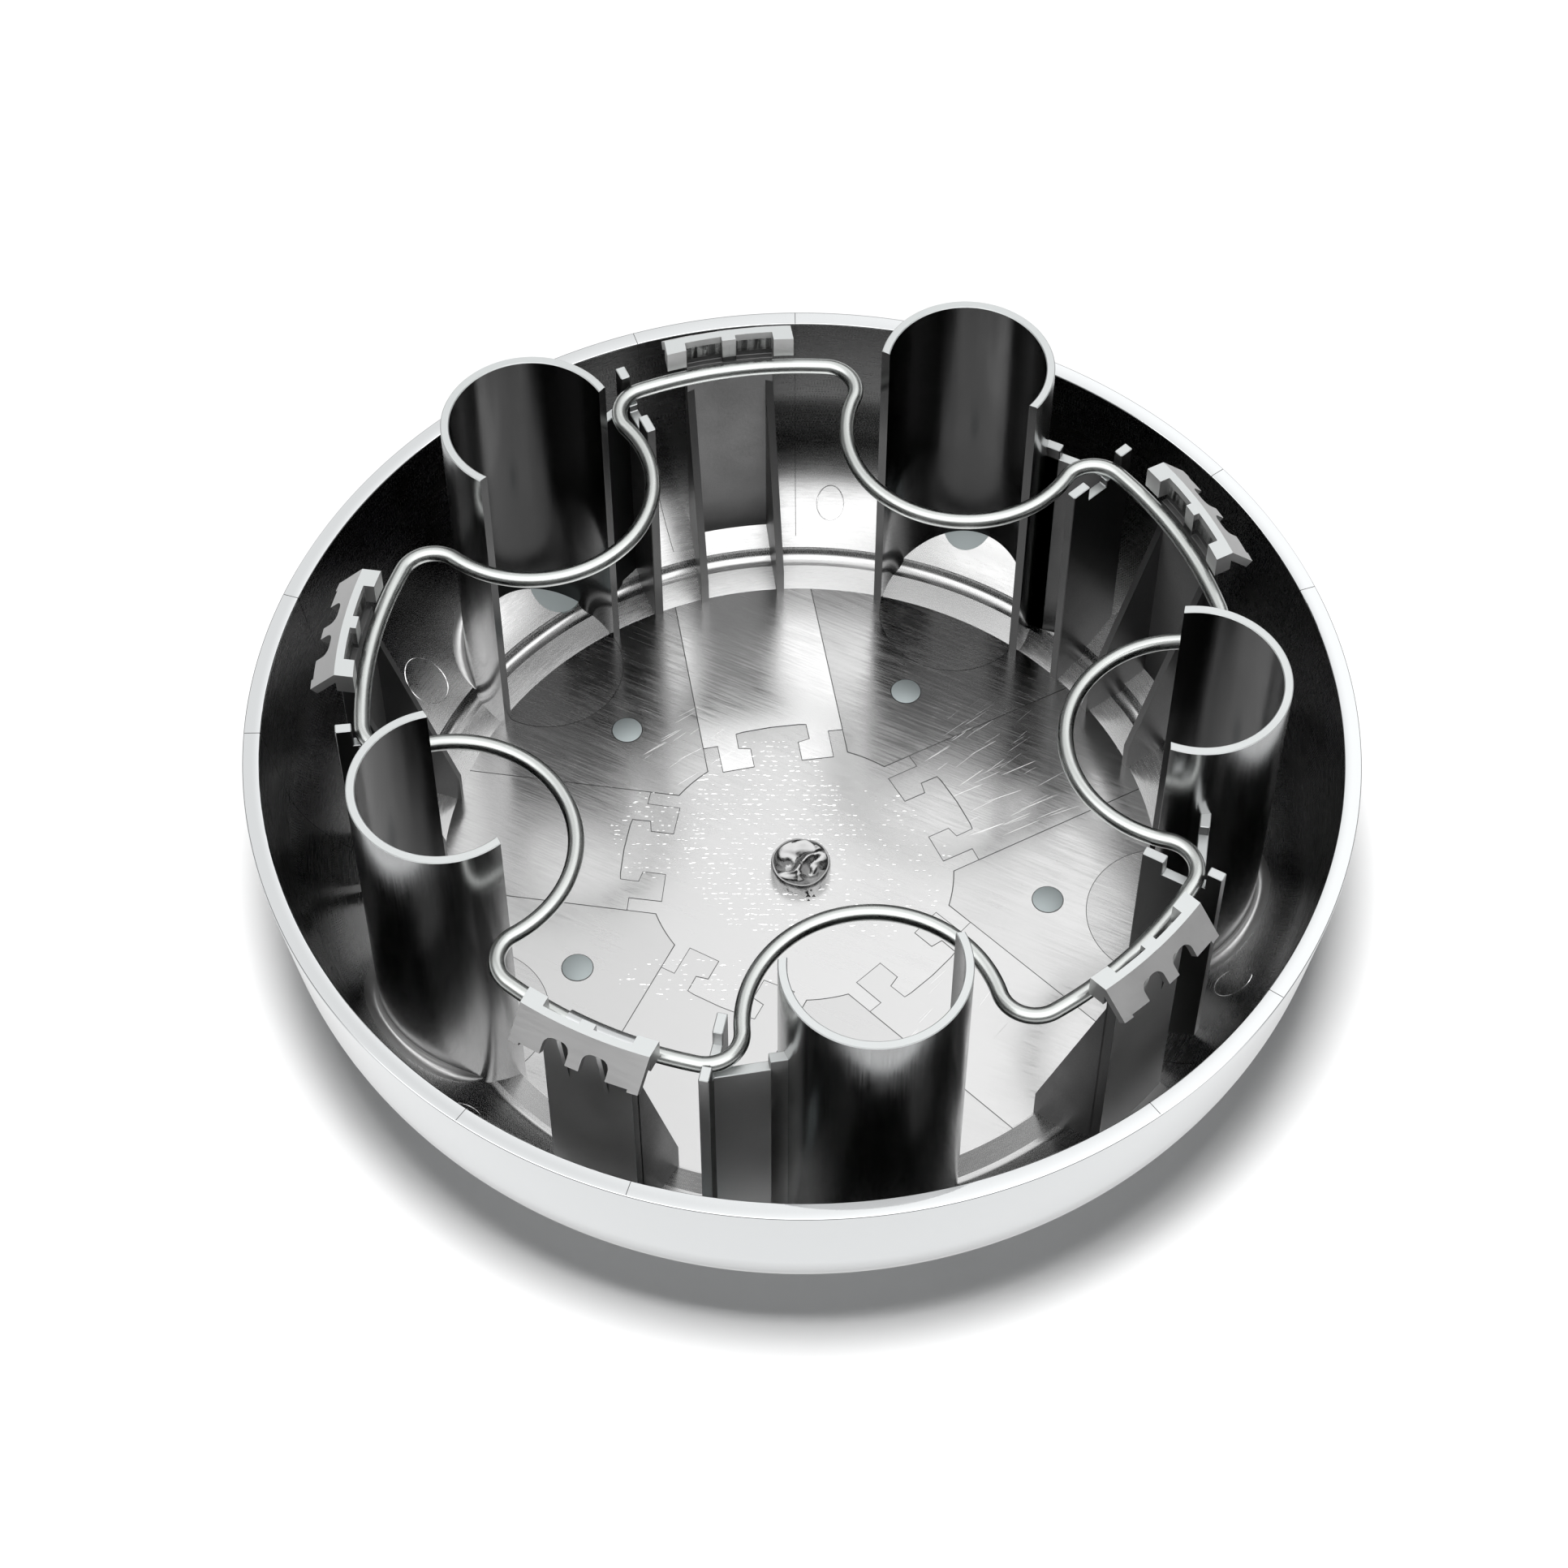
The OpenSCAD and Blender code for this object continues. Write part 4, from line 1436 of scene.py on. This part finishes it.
    def scatter(self, patch: Flecks, finish: Material) -> None:
        """Builds one patch of flecks.

        Args:
            patch: The patch's place and sizes.
            finish: The flecks' finish.
        """
        lay = math.radians(patch.lay)
        c, sn = math.cos(lay), math.sin(lay)
        x, y = patch.centre
        loop = [(patch.half[0] * u, patch.half[1] * v) for u, v in ring_points(1.0, 24)]
        points = [(x + u * c - v * sn, y + u * sn + v * c, self.sizes.face_t + 0.04) for u, v in loop]
        self.carry(self.trees.run(
            make_object(patch.name, points, [tuple(range(24))]), self.trees.scatter, Density=patch.density,
            Length=patch.length * MM, Width=patch.width * MM, Row=patch.row * MM, Direction=lay, Spread=0.1,
            Tilt=math.radians(patch.tilt), Seed=8, Finish=finish,
        ))


# ---- studio


@dataclass(frozen=True)
class Studio:
    """A white table under a broad soft light, and the camera of the photograph."""

    camera_at: Point3 = (137.67, -286.69, 476.25)
    turn: float = 25.65
    pan: float = 0.4777
    tilt: float = 35.2605
    roll: float = 0.0852
    lens: float = 83.13
    tent_low: float = 0.50  # height of the tent's front edge, as a share of straight up
    tent_high: float = 0.62  # where it is fully bright
    tent_side: Point2 = (-0.14, 0.16)  # across, where its back turns from left to right
    tent_front: Point2 = (-0.5, 0.2)  # towards the camera, where its back turns to its front
    front_light: float = 2.0
    back_left: float = 0.88
    back_right: float = 1.3
    room_light: float = 0.19
    fill_share: float = 0.06  # how much of the tent lights matt surfaces
    lamp_watts: float = 11.2
    lamp_m: float = 0.26
    lamp_at_m: Point3 = (0.0435, -0.1425, 1.0)
    paper: str = "fcfcfc"
    mirrored_paper: str = "a0a0a0"
    mirrored_glow: float = 0.6
    glow_m: Point2 = (0.13, 0.45)  # distances between which the seen table turns fully white
    table_half: float = 2500.0
    table_z: float = -0.1

    def camera(self) -> None:
        """Sets up the camera from the fitted pose."""
        data = bpy.data.cameras.new("camera")
        data.lens = self.lens
        data.sensor_width = 36.0
        data.clip_start = 0.01
        turns = ((self.turn + self.pan, "Z"), (self.tilt, "X"), (self.roll, "Z"))
        pose = Matrix.Translation([MM * c for c in self.camera_at])
        for angle, axis in turns:
            pose = pose @ Matrix.Rotation(math.radians(angle), 4, axis)
        camera = placed("camera", data)
        camera.matrix_world = pose
        bpy.context.scene.camera = camera

    def world(self) -> None:
        """A light tent: bright above its open front edge, brightest over the camera, and dim below it."""
        world = bpy.data.worlds.new("light_tent")
        bpy.context.scene.world = world
        tree = cleared_tree(world)
        way = add_node(tree, "ShaderNodeTexCoord").outputs["Generated"]
        up = add_node(tree, "ShaderNodeSeparateXYZ", {0: way}).outputs["Z"]
        a = math.radians(self.turn)
        to_front, to_side = (math.sin(a), -math.cos(a), 0.0), (math.cos(a), math.sin(a), 0.0)
        front, side = (
            add_node(tree, "ShaderNodeVectorMath", {0: way, 1: v}, operation="DOT_PRODUCT").outputs["Value"]
            for v in (to_front, to_side)
        )

        def blend(value: NodeSocket, span: Point2, low: object, high: object) -> NodeSocket:
            """Turns smoothly from low to high as the value crosses the span."""
            return add_node(
                tree, "ShaderNodeMapRange",
                {"Value": value, "From Min": span[0], "From Max": span[1], "To Min": low, "To Max": high},
                interpolation_type="SMOOTHSTEP",
            ).outputs[0]

        edge = blend(up, (self.tent_low, self.tent_high), 0.0, 1.0)
        behind = blend(side, self.tent_side, self.back_left, self.back_right)
        fore = blend(front, self.tent_front, behind, self.front_light)
        high = add_node(tree, "ShaderNodeMath", {0: fore, 1: edge}, operation="MULTIPLY")
        tent = add_node(tree, "ShaderNodeMath", {0: high, 1: self.room_light}, operation="ADD")
        seen = add_node(tree, "ShaderNodeLightPath")
        share = add_node(
            tree, "ShaderNodeMapRange",
            {"Value": seen.outputs["Is Diffuse Ray"], "To Min": 1.0, "To Max": self.fill_share},
        )
        sky = add_node(tree, "ShaderNodeMath", {0: tent, 1: share}, operation="MULTIPLY")
        room = add_node(tree, "ShaderNodeBackground", {"Color": linear(self.paper), "Strength": sky})
        white = add_node(tree, "ShaderNodeBackground", {"Color": (1, 1, 1, 1), "Strength": 1.0})
        mixed = add_node(tree, "ShaderNodeMixShader", {0: seen.outputs["Is Camera Ray"], 1: room, 2: white})
        add_node(tree, "ShaderNodeOutputWorld", {0: mixed})
        world.cycles.sampling_method = "NONE"

    def table(self) -> None:
        """The white table top: it keeps the cap's shadow, turns white away from it, and is mirrored evenly."""
        half, z = self.table_half, self.table_z
        corners = [(x, y, z) for x, y in ((-half, -half), (half, -half), (half, half), (-half, half))]
        top = make_object("table_top", corners, [(0, 1, 2, 3)])
        material = bpy.data.materials.new("white_table")
        tree = cleared_tree(material)
        paper = add_node(tree, "ShaderNodeBsdfDiffuse", {"Color": linear(self.paper)})
        seen = add_node(tree, "ShaderNodeLightPath")
        place = add_node(tree, "ShaderNodeTexCoord").outputs["Object"]
        away = add_node(tree, "ShaderNodeVectorMath", {0: place}, operation="LENGTH").outputs["Value"]
        far = add_node(
            tree, "ShaderNodeMapRange", {"Value": away, "From Min": self.glow_m[0], "From Max": self.glow_m[1]},
            interpolation_type="SMOOTHSTEP",
        )
        lit = add_node(tree, "ShaderNodeMath", {0: far, 1: seen.outputs["Is Camera Ray"]}, operation="MULTIPLY")
        glow = add_node(tree, "ShaderNodeEmission", {"Strength": lit})
        both = add_node(tree, "ShaderNodeAddShader", {0: paper, 1: glow})
        dim = add_node(tree, "ShaderNodeBsdfDiffuse", {"Color": linear(self.mirrored_paper)})
        even = add_node(tree, "ShaderNodeEmission", {"Strength": self.mirrored_glow})
        mirrored = add_node(tree, "ShaderNodeAddShader", {0: dim, 1: even})
        look = add_node(tree, "ShaderNodeMixShader", {0: seen.outputs["Is Glossy Ray"], 1: both, 2: mirrored})
        add_node(tree, "ShaderNodeOutputMaterial", {0: look})
        top.data.materials.append(material)

    def lamp(self) -> None:
        """One soft box above the cap and a little to its front, which the plate doesn't mirror."""
        data = bpy.data.lights.new("soft_box", "AREA")
        data.shape = "SQUARE"
        data.size = self.lamp_m
        data.energy = self.lamp_watts
        lamp = placed("soft_box", data)
        lamp.location = self.lamp_at_m
        lamp.visible_glossy = False
        lamp.rotation_euler = Vector(self.lamp_at_m).to_track_quat("Z", "Y").to_euler()

    def build(self) -> None:
        """Builds the whole studio."""
        bpy.context.scene.view_settings.view_transform = "Standard"
        self.camera()
        self.world()
        self.table()
        self.lamp()


# ---- the cap's finishes

PLATED = {
    # Lapped to a mirror on the outside and the rim: it shows the room, with hardly a mark.
    "mirror": PlatedFinish("chrome_on_polished_abs", Cut.POLISHED),
    # Turned on a lathe round the inside wall: soft bands along the circle, some chatter, and painted shade that darkens
    # the colour higher up.
    "turned": PlatedFinish("chrome_on_turned_abs", Cut.TURNED, "cacaca", 0.26, 0.3, 0.003, 0.03, 0.04,
                           chatter_mm=0.42, painted_shade_colour="6a6a6a"),
    # Stoned by hand along one way: a satin mirror with fine straight lines.
    "plug": PlatedFinish("chrome_on_stoned_abs", Cut.STONED, "d4d4d4", 0.23, 0.35, 0.004, 0.03, 0.05),
    # Ground strips behind the clips: the same lines the other way, a little clearer.
    "block": PlatedFinish("chrome_on_ground_abs", Cut.STONED, "d0d0d0", 0.19, 0.3, 0.004, 0.03, 0.05, 62.0),
    # Lapped fields between the strips: longer, bolder lines.
    "core": PlatedFinish("chrome_on_lapped_abs", Cut.STONED, "cccccc", 0.21, 0.35, 0.006, 0.04, 0.06, 20.0),
    # The round ends of the tubes' cores: duller, because they were stoned least.
    "disc": PlatedFinish("chrome_on_core_end", Cut.STONED, "c4c4c4", 0.25, 0.3, 0.004, 0.03, 0.06),
    # Reamed outside of the tubes: soft streaks along their length.
    "drawn": PlatedFinish("chrome_on_reamed_abs", Cut.DRAWN, "a3a3a3", 0.2, 0.3, 0.001, 0.03, 0.03),
    # The tubes' bores: the same streaks, painted dark as painted shade inside the tubes.
    "bore": PlatedFinish("bore_chrome_painted_shade", Cut.DRAWN, "404040", 0.19, 0.3, 0.0006, 0.03, 0.02),
    # Spark-eroded posts and gussets: an even frost, painted dark grey as painted shade.
    "sparked": PlatedFinish("post_chrome_painted_shade", Cut.SPARKED, "6c6c6c", 0.46, 0.26, 0.012, 0.04, 0.05),
    # The guides, deep between the tubes: the same frost, painted darker as painted shade.
    "plate": PlatedFinish("guide_chrome_painted_shade", Cut.SPARKED, "4a4a4a", 0.38, 0.26, 0.01, 0.04, 0.05),
    # Faces that look outward: the same frost, painted pale as painted light.
    "painted_light_faces": PlatedFinish("chrome_with_painted_light", Cut.SPARKED, "e0e0e0", 0.5, 0.26, 0.008, 0.04, 0.05),
    # Milled clip heads: a soft grey sheen.
    "barbs": PlatedFinish("chrome_on_milled_abs", Cut.STONED, "c4c4c4", 0.45, 0.4, 0.001, 0.03, 0.03),
    # Edges that the mould's halves cut: pale and matt.
    "edge": PlatedFinish("chrome_on_cut_edge", Cut.MATT, "d4d7d7", 0.5, 0.3, 0.002, 0.04),
    # Lines where two blocks of steel meet: a thin dark glint.
    "seam": PlatedFinish("chrome_on_mould_seam", Cut.POLISHED, "707070", 0.25),
    # Ends of the ejector pins: matt and a little bluer.
    "pin": PlatedFinish("chrome_on_pin_end", Cut.MATT, "b8c0c1", 0.62, 0.2, 0.002, 0.03),
    # Small facets left by polishing: bright sparks.
    "fleck": PlatedFinish("chrome_on_burnish_mark", Cut.POLISHED, "f4f4f4", 0.15),
    # Feet blended by hand into the shoulder: a dull, soft sheen.
    "blend": PlatedFinish("chrome_on_blended_abs", Cut.STONED, "c4c4c4", 0.36, 0.35, 0.003, 0.04, 0.05),
    # The strip behind the first clip: the ground strips' lines, painted nearly white as painted light.
    "bright": PlatedFinish("lit_strip_chrome_painted_light", Cut.STONED, "f4f4f4", 0.21, 0.3, 0.004, 0.03, 0.05, 62.0),
}
# Spring wire pulled through a die, and the strip of steel rolled round its ends: grey, with marks along them.
WIRE, SLEEVE = WireFinish(), WireFinish("rolled_sleeve_steel", "bfc1c2", 0.25)


def main() -> None:
    """Builds the studio and every sub-assembly."""
    logging.basicConfig(level=logging.INFO, format="%(name)s %(message)s")
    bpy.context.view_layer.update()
    Studio().build()
    trees = Trees()
    looks = {use: finish.build() for use, finish in PLATED.items()}
    steel, sleeve_steel = WIRE.build(), SLEEVE.build()
    Shell(trees).build(looks["mirror"], looks["turned"], looks["plug"])
    LugTubes(trees).build(looks["drawn"], looks["bore"], looks["edge"])
    TubeFeet(trees).build(looks["blend"])
    WireGuides(trees).build(looks["plate"], looks["painted_light_faces"], looks["edge"])
    SnapClips(trees).build(looks["sparked"], looks["painted_light_faces"], looks["barbs"], looks["edge"])
    SprueStump(trees).build(looks["drawn"])
    marks = FloorMarks(trees)
    marks.plates(looks["block"], looks["bright"], looks["core"], looks["disc"])
    marks.build(looks["seam"], looks["pin"], looks["fleck"])
    RetainingRing(trees).build(steel, sleeve_steel)


if __name__ == "__main__":
    main()
